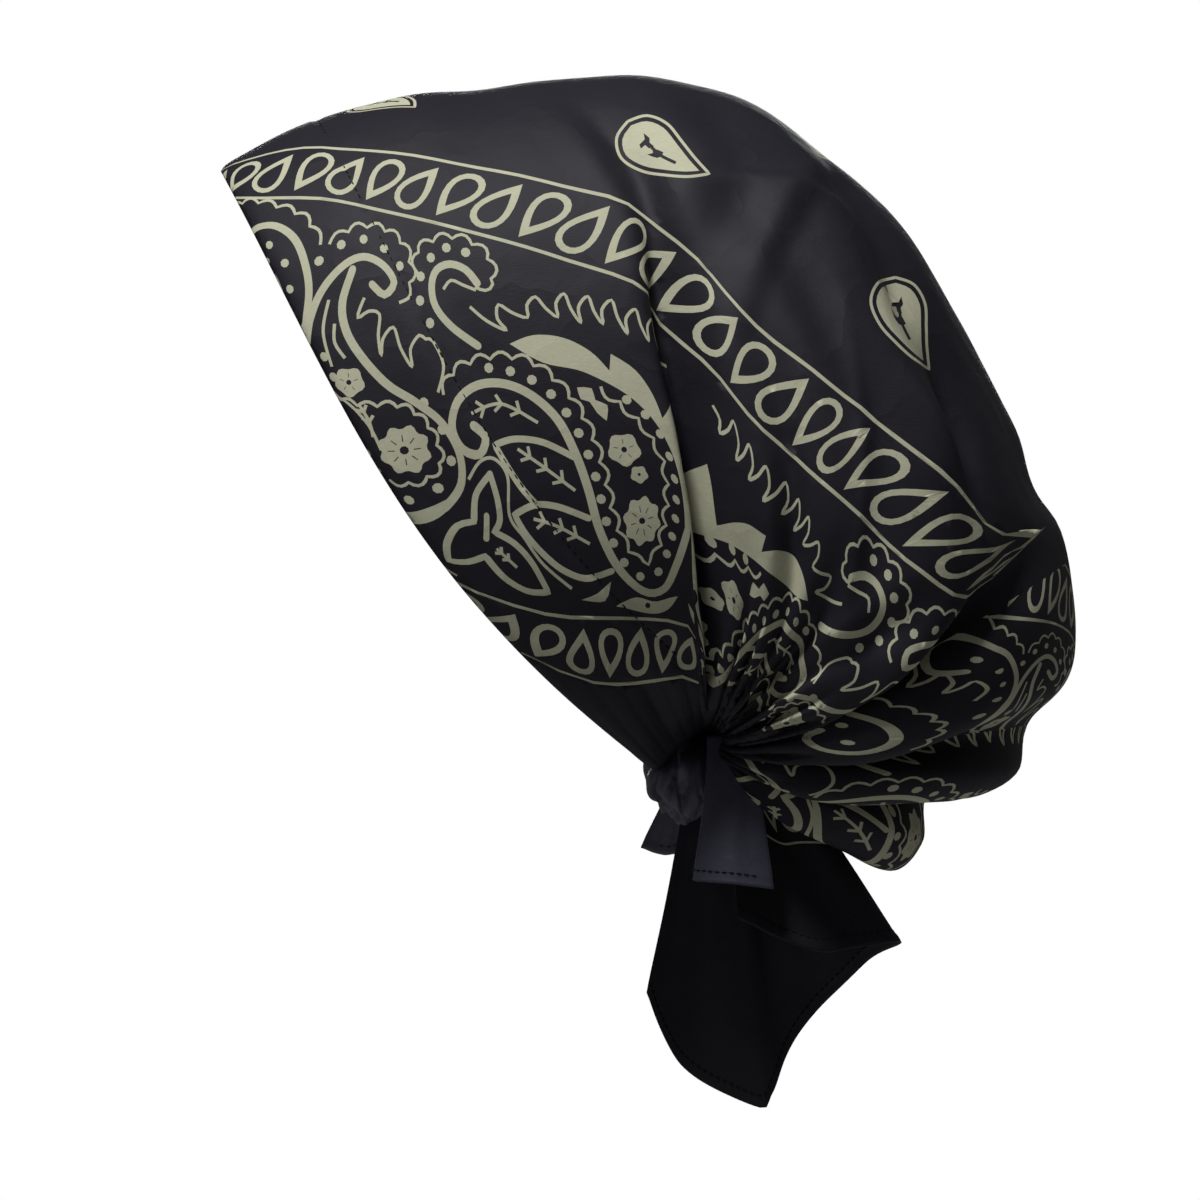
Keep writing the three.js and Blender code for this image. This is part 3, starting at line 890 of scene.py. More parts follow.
class Wardrobe:
    """The finishes, which share one weave and one set of small creases."""

    RUMPLE_RISE = 0.0012
    WEAVE_RISE = 0.00012
    SHEEN_ROUGHNESS = 0.4

    def __init__(self) -> None:
        """Makes the shared groups and every finish."""
        self.weave, self.rumple = weave_group(), rumple_group()
        self.made = {finish: self.make(finish.value) for finish in Finish}

    def dress(self, piece: bpy.types.Object, finishes: Sequence[Finish], slot: str, node: str = "") -> None:
        """Gives a piece its finishes and its place in the frame.

        Args:
            piece: the piece.
            finishes: its finishes, in the order of its faces' material numbers.
            slot: the record's material slot that it shows, which only goes into the log.
            node: the frame's node that it stands for, if it does.
        """
        for finish in finishes:
            piece.data.materials.append(self.made[finish])
        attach(piece, BODY)
        if node:
            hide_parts(node)
        LOG.info("%s: %d faces, %s", piece.name, len(piece.data.polygons), slot)

    def make(self, look: Look) -> bpy.types.Material:
        """Makes one finish: its weave, its small creases and its colour."""
        made = bpy.data.materials.new(look.name)
        made.use_nodes = True
        sheet = NodeSheet(made.node_tree)
        shader = made.node_tree.nodes["Principled BSDF"]
        weave = sheet.add("ShaderNodeGroup", node_tree=self.weave)
        rumple = sheet.add("ShaderNodeGroup", node_tree=self.rumple)
        tint = sheet.add("ShaderNodeMix", data_type="RGBA")
        uneven = sheet.math("ADD", sheet.math("MULTIPLY", weave.outputs["Slub"], 0.7),
                            sheet.math("MULTIPLY", rumple.outputs["Worn"], 0.3))
        sheet.link(uneven, tint.inputs["Factor"])
        tint.inputs["A"].default_value = (*look.dark, 1.0)
        tint.inputs["B"].default_value = (*look.pale, 1.0)
        sheet.link(tint.outputs["Result"], shader.inputs["Base Color"])
        normal = None
        for source, strength, rise in ((rumple, look.rumple, self.RUMPLE_RISE),
                                       (weave, look.weave, self.WEAVE_RISE)):
            if strength:
                bump = sheet.add("ShaderNodeBump")
                bump.inputs["Strength"].default_value = strength
                bump.inputs["Distance"].default_value = rise
                sheet.link(source.outputs["Height"], bump.inputs["Height"])
                if normal:
                    sheet.link(normal, bump.inputs["Normal"])
                normal = bump.outputs["Normal"]
        if normal:
            sheet.link(normal, shader.inputs["Normal"])
        shader.inputs["Roughness"].default_value = look.roughness
        shader.inputs["Sheen Weight"].default_value = look.sheen
        shader.inputs["Sheen Roughness"].default_value = self.SHEEN_ROUGHNESS
        shader.inputs["Specular IOR Level"].default_value = look.shine
        return made


def floor_finish() -> bpy.types.Material:
    """The matt white of the floor."""
    made = bpy.data.materials.new("studio_white")
    made.use_nodes = True
    shader = made.node_tree.nodes["Principled BSDF"]
    shader.inputs["Base Color"].default_value = (0.9, 0.9, 0.9, 1.0)
    shader.inputs["Roughness"].default_value = 0.9
    return made


# ---------------- sheets of cloth


Surface = Callable[[np.ndarray, np.ndarray], np.ndarray]
RimPoint = tuple[float, bmesh.types.BMVert, np.ndarray]


def new_piece(name: str, mesh: bmesh.types.BMesh) -> bpy.types.Object:
    """Turns a finished mesh into an object of the scene, and lets the mesh go."""
    data = bpy.data.meshes.new(name)
    mesh.to_mesh(data)
    mesh.free()
    piece = bpy.data.objects.new(name, data)
    bpy.context.scene.collection.objects.link(piece)
    return piece


def winds_round(outline: np.ndarray, points: np.ndarray) -> np.ndarray:
    """Whether an outline winds round each of some points.

    Args:
        outline: the corners of the outline, in order.
        points: the points to test.

    Returns:
        True for each point inside.
    """
    here, there = outline[:, None], np.roll(outline, -1, axis=0)[:, None]
    left = (there[..., 0] - here[..., 0]) * (points[:, 1] - here[..., 1])
    left = left - (points[:, 0] - here[..., 0]) * (there[..., 1] - here[..., 1])
    rising = (here[..., 1] <= points[:, 1]) & (there[..., 1] > points[:, 1]) & (left > 0)
    falling = (here[..., 1] > points[:, 1]) & (there[..., 1] <= points[:, 1]) & (left < 0)
    return rising.sum(0) != falling.sum(0)


def inked(centres: np.ndarray, shapes: Sequence[Shape]) -> np.ndarray:
    """Whether each of some places is printed: on an olive shape and on no bare one."""
    order = np.argsort(centres[:, 0])
    ranked = centres[order, 0]
    found = {ink: np.zeros(len(centres), bool) for ink in Ink}
    for shape in shapes:
        outline = np.array(shape.outline)
        low, high = outline.min(0), outline.max(0)
        near = order[np.searchsorted(ranked, low[0]):np.searchsorted(ranked, high[0])]
        near = near[(centres[near, 1] > low[1]) & (centres[near, 1] < high[1])]
        found[shape.ink][near] |= winds_round(outline, centres[near])
    return found[Ink.OLIVE] & ~found[Ink.BARE]


@dataclass(frozen=True)
class SheetCut:
    """How a sheet is cut from a rectangle of its own coordinates, which run about a millimetre each."""

    low: Flat
    high: Flat
    face_step: float
    lining_step: float
    rim_step: float
    thickness: float

    LINE_PITCH = 0.87

    def rim(self) -> list[Flat]:
        """Points round the rectangle, which both faces of the sheet share."""
        (a0, b0), (a1, b1) = self.low, self.high
        along = max(2, round((a1 - a0) / self.rim_step))
        across = max(2, round((b1 - b0) / self.rim_step))
        corners = [(a0, b0), (a1, b0), (a1, b1), (a0, b1)]
        return [(p[0] + (q[0] - p[0]) * k / count, p[1] + (q[1] - p[1]) * k / count)
                for p, q, count in zip(corners, [*corners[1:], corners[0]], (along, across) * 2)
                for k in range(count)]

    def field(self, step: float) -> np.ndarray:
        """Staggered points that fill the rectangle, clear of its rim."""
        (a0, b0), (a1, b1) = self.low, self.high
        points = []
        lines = max(1, round((b1 - b0) / (step * self.LINE_PITCH)))
        count = max(1, round((a1 - a0) / step))
        for line in range(1, lines):
            shift = 0.75 if line % 2 else 0.5
            points += [(a0 + (a1 - a0) * (k + shift) / count, b0 + (b1 - b0) * line / lines)
                       for k in range(count)]
        return np.array(points)


class ClothSheet:
    """A thin sheet with a printed outer face, cut in its own flat coordinates and laid on a surface.

    The points of the plain cloth stay CLEAR of the print's outlines and of the rim, and a corner of the mesh
    counts as on the rim when it lies within ON_RIM of it.
    """

    CLEAR = 0.8
    ON_RIM = 1e-3

    def __init__(self, cut: SheetCut, surface: Surface, shapes: Sequence[Shape] = ()) -> None:
        """Holds what the sheet is cut from.

        Args:
            cut: the rectangle, its steps and the sheet's thickness.
            surface: gives places in millimetres for arrays of the two coordinates.
            shapes: the print, in the sheet's own coordinates.
        """
        self.cut = cut
        self.surface = surface
        self.shapes = shapes

    def _triangles(self, step: float, shapes: Sequence[Shape]
                   ) -> tuple[np.ndarray, list[tuple[int, ...]], np.ndarray]:
        """Cuts the rectangle into triangles along the outlines of the shapes.

        Args:
            step: the distance between the points of the plain cloth.
            shapes: the print to cut in.

        Returns:
            The points, the triangles and, for each triangle, whether it is printed.
        """
        rim = self.cut.rim()
        outlines = np.array([point for shape in shapes for point in shape.outline]).reshape(-1, 2)
        tree = KDTree(len(outlines) + len(rim))
        for index, (a, b) in enumerate([*map(tuple, outlines), *rim]):
            tree.insert((a, b, 0.0), index)
        tree.balance()
        plain = [(a, b) for a, b in self.cut.field(step) if not tree.find_range((a, b, 0.0), self.CLEAR)]
        points = [*rim, *plain, *map(tuple, outlines)]
        edges = [(k, (k + 1) % len(rim)) for k in range(len(rim))]
        start = len(rim) + len(plain)
        for shape in shapes:
            count = len(shape.outline)
            edges += [(start + k, start + (k + 1) % count) for k in range(count)]
            start += count
        verts, _, cells, *_ = delaunay_2d_cdt([Vector(point) for point in points], edges, [], 0, 1e-4, False)
        flat = np.array([tuple(vert) for vert in verts])
        corners = np.array(cells)
        centres = flat[corners].mean(1)
        (a0, b0), (a1, b1) = self.cut.low, self.cut.high
        inside = (centres[:, 0] > a0) & (centres[:, 0] < a1) & (centres[:, 1] > b0) & (centres[:, 1] < b1)
        corners = corners[inside]
        return flat, [tuple(row) for row in corners], inked(centres[inside], shapes)

    def _rim_run(self, flat: np.ndarray, verts: dict[int, bmesh.types.BMVert]) -> list[RimPoint]:
        """Sorts the corners on the rectangle's sides by how far round the rectangle they lie.

        Args:
            flat: the flat places of all points of the face.
            verts: the mesh's corners, by the number of their point.

        Returns:
            The distance round, the corner and its flat place, with the first again at the end.
        """
        (a0, b0), (a1, b1) = self.cut.low, self.cut.high
        width, height = a1 - a0, b1 - b0
        run = []
        for number, vert in verts.items():
            a, b = flat[number]
            sides = ((abs(b - b0), a - a0), (abs(a - a1), width + b - b0),
                     (abs(b - b1), width + height + a1 - a), (abs(a - a0), 2 * width + height + b1 - b))
            off, along = min(sides, key=lambda side: side[0])
            if off < self.ON_RIM:
                run.append((along, vert, flat[number] * MM))
        run.sort(key=lambda point: point[0])
        return [*run, (run[0][0] + 2 * (width + height), *run[0][1:])]

    @staticmethod
    def _close_rim(mesh: bmesh.types.BMesh, layer: bmesh.types.BMLayerItem,
                   outer: list[RimPoint], inner: list[RimPoint]) -> None:
        """Closes the thickness between the two faces with plain triangles, walking both rims in step.

        Args:
            mesh: the sheet's mesh.
            layer: its flat coordinates.
            outer: the rim of the printed face.
            inner: the rim of the lining.
        """
        i = j = 0
        while i < len(outer) - 1 or j < len(inner) - 1:
            ahead = j == len(inner) - 1 or (i < len(outer) - 1 and outer[i + 1][0] <= inner[j + 1][0])
            trio = (outer[i + 1], outer[i], inner[j]) if ahead else (inner[j], inner[j + 1], outer[i])
            face = mesh.faces.new([vert for _, vert, _ in trio])
            for loop, (_, _, place) in zip(face.loops, trio):
                loop[layer].uv = place
            i, j = (i + 1, j) if ahead else (i, j + 1)

    def build(self, name: str, offset: Surface) -> bpy.types.Object:
        """Makes the sheet's mesh: the printed outer face, the plain lining and the rim between them.

        Args:
            name: the piece's name.
            offset: the unit normals of the surface, which point out of its printed face.

        Returns:
            The new object, with print in its second material slot.
        """
        mesh = bmesh.new()
        flat_layer = mesh.loops.layers.uv.new("Flat")
        rims = []
        for step, shapes, depth in ((self.cut.face_step, self.shapes, 0.0),
                                    (self.cut.lining_step, (), self.cut.thickness)):
            flat, triangles, printed = self._triangles(step, shapes)
            places = self.surface(flat[:, 0], flat[:, 1]) - offset(flat[:, 0], flat[:, 1]) * depth
            used = sorted({corner for triangle in triangles for corner in triangle})
            verts = {corner: mesh.verts.new(places[corner] * MM) for corner in used}
            for triangle, ink in zip(triangles, printed):
                corners = triangle if depth == 0.0 else triangle[::-1]
                if len(set(corners)) < 3:
                    continue
                face = mesh.faces.new([verts[corner] for corner in corners])
                face.material_index, face.smooth = int(ink), True
                for loop, corner in zip(face.loops, corners):
                    loop[flat_layer].uv = flat[corner] * MM
            rims.append(self._rim_run(flat, verts))
        self._close_rim(mesh, flat_layer, *rims)
        return new_piece(name, mesh)


def unit_normals(surface: Surface, a: np.ndarray, b: np.ndarray, reach: float = 0.6) -> np.ndarray:
    """The unit normals of a surface, from short steps across it.

    Args:
        surface: the surface.
        a: its first coordinate.
        b: its second coordinate.
        reach: the length of a step.

    Returns:
        One unit vector for each place.
    """
    along = surface(a + reach, b) - surface(a - reach, b)
    across = surface(a, b + reach) - surface(a, b - reach)
    normal = np.cross(along, across)
    return normal / np.maximum(np.linalg.norm(normal, axis=-1, keepdims=True), 1e-9)


# ---------------- the crown


class Medallion(NamedTuple):
    """A boteh of the plain field: where its middle lies, and the way its tip points.

    The turn is measured from straight back, and downwards. A flank one is laid to look true from the side,
    and a flipped one curls its tip the other way.
    """

    row: float
    deg: float
    turn_deg: float
    flank: bool = False
    flipped: bool = False


@dataclass
class CrownCloth:
    """The printed crown, with its front hem's seam, its creases, its dents and its pleats at the nape.

    Its sheet is cut along the rows and round the degrees: the first coordinate is the run of the rows in
    millimetres, and the second grows by degree_run for each degree, towards the wearer's right.
    """

    ROW_STEP = 0.1
    SEAM_DEG_STEP = 4.0
    SEAM_ROWS = 4.0
    RUN_BEFORE_FRONT = 26.0
    RUN_PAST_LAST = 10.0
    EDGE_CLEAR = 0.61
    RIM_STEP = 2.0
    TORN_ROWS = 3.0
    TORN_DEGS = 60.0
    BISECTIONS = 14

    form: CrownForm = field(default_factory=CrownForm)
    hem_width: float = 32.0
    seam_dip: float = 0.45
    seam_spread: float = 0.9
    seam_end: Flat = (128.0, 140.0)
    ply_swell: float = 0.25
    edge_round: float = 0.9
    thickness: float = 0.85
    crease_ease: float = 1.0
    ease_rows: Flat = (1.4, 2.4)
    ease_degs: Flat = (146.0, 156.0)
    run_deg: float = 62.0
    least_step: float = 0.9
    face_step: float = 2.3
    lining_step: float = 3.3
    degree_run: float = 1.5
    dent_degree_run: float = 1.45
    pleat_pitch: float = 15.0
    pleat_depth: float = 2.7
    pleat_reach: Flat = (112.0, 150.0)
    valleys: tuple[float, ...] = (10.2, 13.2, 16.2)
    squeeze_deg: float = 112.0
    squeeze_share: float = 0.34
    rim_deg: float = 150.0
    rim_pull: float = 0.88
    lay_rounds: int = 8
    medallion_size: float = 0.94
    dents: tuple[Dent, ...] = (
        Dent(3.8, 44, 3.2, 24, 5, 70, 0.3), Dent(4.9, 54, 2.4, 34, 9, 118),
        Dent(5.5, 42, -3.6, 44, 14, 107, 1.0), Dent(5.3, 41, -2.8, 27, 10, 154, 1.0),
        Dent(6.6, 33, 3.2, 40, 10, 50), Dent(8.0, 57, -5.4, 30, 13, 0, 1.0),
        Dent(7.95, 46, 6.4, 26, 12, 38), Dent(6.4, 66, 1.8, 46, 9, 30), Dent(4.8, 28, 2.2, 36, 9, 80),
        Dent(7.6, 92, 2.2, 40, 9, 35), Dent(6.0, 98, 2.0, 40, 8, 60), Dent(6.9, 78, -1.8, 36, 7, 60, 0.7),
        Dent(3.6, -46, 2.8, 30, 6, 75, 0.3), Dent(5.0, -26, 3.0, 44, 9, 60),
        Dent(5.6, -52, -3.2, 40, 9, 125, 1.0), Dent(6.6, -40, 3.2, 46, 10, 125),
        Dent(8.2, -26, 5.0, 40, 12, 40), Dent(7.8, -56, -3.6, 40, 9, 75, 0.8),
        Dent(7.2, -90, 2.2, 40, 9, 145), Dent(5.9, -98, 2.0, 36, 8, 60), Dent(2.6, 22, 1.0, 40, 9, 100),
        Dent(2.4, -18, 1.0, 40, 9, 80), Dent(1.9, 84, 0.9, 50, 8, 80), Dent(1.9, -80, 0.9, 50, 8, 100),
        Dent(5.7, 43, 1.8, 38, 7, 107, 0.8), Dent(5.3, 38, 1.2, 25, 4, 154, 0.8),
        Dent(9.4, -6, 2.0, 36, 8, 90), Dent(2.6, 128, 0.9, 40, 6, 20), Dent(2.4, -130, 1.0, 40, 6, 160),
        Dent(6.4, 112, 1.8, 34, 6, 60), Dent(8.2, 104, 2.0, 34, 6, 110), Dent(7.4, 126, 1.8, 36, 6, 80),
        Dent(6.6, -108, 2.0, 34, 6, 70), Dent(8.4, -100, 1.8, 34, 6, 110))
    medallions: tuple[Medallion, ...] = (
        Medallion(4.04, 42, 52, True, True), Medallion(6.98, 43.5, 88, True, True),
        Medallion(1.84, 9, 30), Medallion(5.72, 8, 60), Medallion(3.5, -24, 40),
        Medallion(6.8, -36, 75, True, True), Medallion(8.6, -10, 80))

    def __post_init__(self) -> None:
        """Measures the run of the rows once, so that the sheet's own coordinates are near to its size."""
        rows = np.arange(0.0, self.form.last_row + 0.01, self.ROW_STEP)
        line = self.form.base(rows, np.full_like(rows, self.run_deg), creased=False)
        steps = np.maximum(np.linalg.norm(np.diff(line, axis=0), axis=1), self.least_step)
        self.rows = rows
        self.row_run = np.concatenate([[0.0], np.cumsum(steps)])
        self._measure_front()

    def _measure_front(self) -> None:
        """Measures the run of the cloth behind the front edge, row by row, at a few degrees."""
        wide = self.form.pole_deg
        self.seam_degs = np.arange(-wide, wide + 0.1, self.SEAM_DEG_STEP)
        rows = np.arange(0.0, self.SEAM_ROWS, self.ROW_STEP)
        grid_rows, grid_degs = np.meshgrid(rows, self.seam_degs, indexing="ij")
        line = self.form.base(grid_rows, grid_degs, creased=False)
        run = np.cumsum(np.linalg.norm(np.diff(line, axis=0), axis=-1), axis=0)
        self.front_run = np.concatenate([np.zeros((1, run.shape[1])), run])
        self.front_rows = rows

    def behind_edge(self, rows: np.ndarray, degs: np.ndarray) -> np.ndarray:
        """The distance of each place from the front edge, along the cloth; it stops growing far behind."""
        column = (degs - self.seam_degs[0]) / self.SEAM_DEG_STEP
        low = np.clip(column.astype(int), 0, len(self.seam_degs) - 2)
        share = np.clip(column - low, 0.0, 1.0)
        at = np.clip(rows / self.ROW_STEP, 0.0, len(self.front_rows) - 1.001)
        i, part = at.astype(int), at - at.astype(int)
        run = self.front_run

        def read(j: np.ndarray) -> np.ndarray:
            """The run in one column of the table."""
            return run[i, j] * (1 - part) + run[i + 1, j] * part

        ahead = np.minimum(rows, 0.0) * self.RUN_BEFORE_FRONT
        return read(low) * (1 - share) + read(low + 1) * share + ahead

    def behind_to_rows(self, behind: np.ndarray, degs: np.ndarray) -> np.ndarray:
        """The rows that lie the given distances behind the front edge."""
        low, high = np.zeros_like(behind), np.full_like(behind, self.front_rows[-1])
        for _ in range(self.BISECTIONS):
            middle = (low + high) / 2
            short = self.behind_edge(middle, degs) < behind
            low, high = np.where(short, middle, low), np.where(short, high, middle)
        return (low + high) / 2

    def to_rows(self, a: np.ndarray, b: np.ndarray) -> tuple[np.ndarray, np.ndarray]:
        """Turns the sheet's own coordinates into rows and degrees."""
        return np.interp(a, self.row_run, self.rows), -b / self.degree_run

    def to_sheet(self, rows: np.ndarray, degs: np.ndarray) -> np.ndarray:
        """Turns rows and degrees into the sheet's own coordinates, going on straight past its ends."""
        last = self.form.last_row
        a = np.interp(rows, self.rows, self.row_run)
        a = a + np.minimum(rows, 0.0) * self.RUN_BEFORE_FRONT
        a = a + np.maximum(rows - last, 0.0) * self.RUN_PAST_LAST
        return np.stack([a, -degs * self.degree_run], -1)

    def relief(self, rows: np.ndarray, degs: np.ndarray, smooth: np.ndarray) -> np.ndarray:
        """How far the cloth stands out from the smooth arches, in millimetres.

        Args:
            rows: the rows.
            degs: the degrees.
            smooth: the places on the arches.

        Returns:
            The height at each place.
        """
        turn = np.abs(degs)
        back = self.behind_edge(rows, degs)
        seam = np.exp(-(((back - self.hem_width) / self.seam_spread) ** 2))
        height = -self.seam_dip * seam * (1 - smooth_step(turn, *self.seam_end))
        ply_end = 1 - smooth_step(back, self.hem_width - 3.0, self.hem_width - 0.5)
        height += self.ply_swell * smooth_step(back, 0.0, 3.0) * ply_end
        height -= self.edge_round * np.exp(-np.maximum(back, 0.0) / 1.3)
        run = np.interp(rows, self.rows, self.row_run)
        for dent in self.dents:
            height -= self.dented(dent, run, degs)
        height += self.crumple(smooth) * (0.35 + 0.65 * smooth_step(rows, 3.5, 5.0))
        for valley in self.valleys:
            height *= 1 - 0.85 * np.exp(-(((rows - valley) / 0.45) ** 2)) * (1 - smooth_step(turn, 70, 110))
        height += self.pleats(rows, degs, run)
        return height

    def dented(self, dent: Dent, run: np.ndarray, degs: np.ndarray) -> np.ndarray:
        """How deep one dent is at each place; a soft one has a low swell along one side."""
        lean = math.radians(dent.turn_deg)
        along = run - np.interp(dent.row, self.rows, self.row_run)
        across = (degs - dent.deg) * self.dent_degree_run
        on = along * math.cos(lean) + across * math.sin(lean)
        off = (across * math.cos(lean) - along * math.sin(lean)) / dent.width
        soft = np.exp(-(off**2)) - 0.45 * np.exp(-((off - 1.7) ** 2))
        sharp = np.exp(0.1 - np.sqrt((1.4 * off) ** 2 + 0.01))
        profile = soft + (sharp - soft) * dent.crisp
        return dent.depth * profile * np.exp(-((on / dent.length) ** 2))

    def pleats(self, rows: np.ndarray, degs: np.ndarray, run: np.ndarray) -> np.ndarray:
        """The gathers that run in to the knot; they grow finer and shallower as the cloth draws together."""
        turn = np.abs(degs)
        wander = 3.2 * np.sin(run / 23.0 + 0.9) + 1.4 * np.sin(run / 9.3 + np.where(degs < 0, 2.0, 0.4))
        drift = 2.4 * np.sin(turn / 11.0 + run / 31.0)
        phase = 2 * np.pi * (run + wander + drift) / self.pleat_pitch
        wave = np.sin(phase) + 0.4 * np.sin(2.0 * phase + 1.1 + 0.9 * np.sin(run / 40.0))
        nearness = np.clip((self.form.pole_deg - turn) / 38.0, 0.0, 1.0)
        reach = smooth_step(turn, *self.pleat_reach) * nearness**0.9
        depth = 0.2 + self.pleat_depth * smooth_step(rows, 4.4, 5.6)
        return wave * reach * depth

    def crumple(self, smooth: np.ndarray) -> np.ndarray:
        """Small soft irregularities of the cloth, from a few crossed waves."""
        x, y, z = smooth[..., 0], smooth[..., 1], smooth[..., 2]
        broad = np.sin(x / 13.0 + 1.7 * np.sin(y / 21.0 + 0.6) + z / 29.0)
        broad *= np.sin(y / 15.0 + 1.3 * np.sin(z / 18.0) - x / 31.0 + 0.8)
        small = np.sin(x / 5.1 + 1.9 * np.sin(z / 8.3)) * np.sin(y / 6.2 + z / 4.7 + 1.5 * np.sin(x / 9.0))
        return 0.6 * broad + 0.14 * small

    def smooth_surface(self, a: np.ndarray, b: np.ndarray) -> np.ndarray:
        """The creased arches at the sheet's own coordinates, drawn in to the knot at their feet."""
        rows, degs = self.to_rows(a, b)
        places = self.form.base(rows, np.where(np.abs(degs) < 1e-4, 1e-4, degs))
        places[..., 0] *= 1 - self.rim_pull * smooth_step(np.abs(degs), self.rim_deg, self.form.pole_deg)
        return places

    def surface(self, a: np.ndarray, b: np.ndarray) -> np.ndarray:
        """The cloth as it lies, with its folds and its seam."""
        rows, degs = self.to_rows(a, b)
        smooth = self.smooth_surface(a, b)
        normal = self.outward(a, b)
        return smooth + normal * self.relief(rows, degs, smooth)[:, None]

    def outward(self, a: np.ndarray, b: np.ndarray) -> np.ndarray:
        """The unit normals of the creased arches, which point away from the head."""
        wide = self.form.pole_deg * self.degree_run
        return unit_normals(self.smooth_surface, self.clear_of_ends(a), np.clip(b, -wide, wide))

    def clear_of_ends(self, a: np.ndarray) -> np.ndarray:
        """Keeps the first coordinate so far inside the sheet that a normal can be taken there."""
        return np.clip(a, self.row_run[0] + self.EDGE_CLEAR, self.row_run[-1] - self.EDGE_CLEAR)

    def facing(self, a: np.ndarray, b: np.ndarray) -> np.ndarray:
        """The normals of the cloth as it lies, longer over its creases to keep the lining clear of them."""
        rows, degs = self.to_rows(a, b)
        deep = smooth_step(rows, *self.ease_rows) * (1 - smooth_step(np.abs(degs), *self.ease_degs))
        return unit_normals(self.surface, self.clear_of_ends(a), b) * (1 + self.crease_ease * deep)[:, None]

    def shapes(self) -> list[Shape]:
        """The print of the whole crown, in the sheet's own coordinates."""
        shapes = BorderPrint().draw()
        flat = np.array([point for shape in shapes for point in shape.outline])
        wide = self.form.pole_deg
        found: list[Shape] = []
        for strip in STRIPS:
            placed = ClothLay(self.form, strip).place(flat)
            start = 0
            for shape in shapes:
                part = placed[start:start + len(shape.outline)]
                start += len(shape.outline)
                rows, degs = part[:, 0], part[:, 1]
                inside = (rows > strip.first_row) & (rows < strip.last_row) & (degs > 0) & (degs < wide)
                torn = np.ptp(rows) > self.TORN_ROWS or np.ptp(degs) > self.TORN_DEGS
                if torn or not inside.any() or self.squeezed(rows, degs, shape):
                    continue
                rows = np.clip(rows, strip.first_row - 0.4 * (strip.first_row == 0), strip.last_row)
                degs = np.clip(degs, 0.0, wide + 2.0)
                for side in (1, -1):
                    outline = [tuple(point) for point in self.to_sheet(rows, degs * side)]
                    found.append(Shape(outline if side > 0 else outline[::-1], shape.ink))
        for medallion in self.medallions:
            found += self.medallion(medallion)
        return found

    def squeezed(self, rows: np.ndarray, degs: np.ndarray, shape: Shape) -> bool:
        """Whether a shape lies so deep in the gathers that only slivers of it would show."""
        if float(np.median(degs)) < self.squeeze_deg:
            return False
        laid = self.form.base(np.clip(rows, 0, self.form.last_row), degs, creased=False)
        flat = np.column_stack([shape.outline, np.zeros(len(laid))])
        laid_area, flat_area = (np.linalg.norm(np.cross(ring, np.roll(ring, -1, axis=0)).sum(axis=0))
                                for ring in (laid - laid.mean(axis=0), flat - flat.mean(axis=0)))
        return laid_area < self.squeeze_share * flat_area

    @staticmethod
    def boteh() -> list[Shape]:
        """One boteh of the field, in flat millimetres: a solid body with a bare sprig, inside a fine ring."""
        chart = PrintChart()
        chart.blot([(-10.7, 0), (-9.0, 4.7), (-4.3, 7.0), (1.7, 5.0), (7.0, 0.7), (11.2, -3.6), (13.5, -7.0),
                    (13.5, -7.0), (8.5, -6.8), (3, -7.0), (-4, -7.1), (-8.8, -4.5)])
        chart.stroke([(-12.4, 0), (-10.4, 5.8), (-4.5, 8.7), (2.6, 6.4), (8.2, 1.8), (12.9, -3.2),
                      (16.1, -8.8), (16.1, -8.8), (9, -8.5), (3, -8.7), (-4.4, -8.8), (-10.2, -5.7),
                      (-12.4, 0)], chart.fine)
        chart.blot([(-6.4, -1.4), (-4.6, -0.4), (-4.3, 1.9), (-3.0, 2.3), (-3.1, 0.6), (-1.5, 0.4),
                    (-1.0, -1.2), (-2.8, -0.9), (-4.0, -1.8)], Ink.BARE)
        chart.blot([(-0.4, 2.0), (0.4, 0.4), (-0.7, -0.4), (0.5, -1.4), (2.2, -2.2), (2.9, -0.9),
                    (2.4, 0.4), (1.2, 1.2)], Ink.BARE)
        chart.stroke([(-1.8, -0.4), (0.4, -0.6), (3.2, -1.2), (7.2, -3.0)], 1.0, ink=Ink.BARE)
        return chart.shapes

    def pulls_at(self, here: np.ndarray, reach: float = 4.0) -> list[np.ndarray]:
        """How far the smooth cloth moves for a millimetre of each of its coordinates, about one place."""
        pulls = []
        for step in reach * np.eye(2):
            near, far = (self.smooth_surface(*place[:, None])[0] for place in (here - step, here + step))
            pulls.append((far - near) / (2 * reach))
        return pulls

    def medallion(self, place: Medallion) -> list[Shape]:
        """Lays one boteh on the field.

        Args:
            place: where it lies, and the way it is turned.

        Returns:
            Its shapes, in the sheet's own coordinates.
        """
        here = self.to_sheet(np.array([place.row]), np.array([place.deg]))[0]
        pulls = self.pulls_at(here)
        normal = np.cross(*pulls)
        normal /= np.linalg.norm(normal)
        back = np.array([0.0, 1.0, 0.0]) - normal * normal[1]
        back /= np.linalg.norm(back)
        down = np.cross(back, normal) * (1 if place.deg >= 0 else -1)
        pulls = np.stack(pulls, axis=1)
        if place.flank:
            back, down, pulls = np.array([1.0, 0.0]), np.array([0.0, -1.0]), pulls[1:]
        turn = math.radians(place.turn_deg)
        ahead = back * math.cos(turn) + down * math.sin(turn)
        left = (back * math.sin(turn) - down * math.cos(turn)) * (-1 if place.flipped else 1)
        unlay = np.linalg.pinv(pulls)
        middle = self.surface(here[:1], here[1:])[0, 1:]
        shapes = []
        for shape in self.boteh():
            flat = np.array(shape.outline)
            reach = (flat[:, :1] * ahead + flat[:, 1:] * left) * self.medallion_size
            at = here + reach @ unlay.T
            for _ in range(self.lay_rounds if place.flank else 0):
                at += (middle + reach - self.surface(at[:, 0], at[:, 1])[:, 1:]) @ unlay.T
            shapes.append(Shape([tuple(point) for point in at], shape.ink))
        return shapes

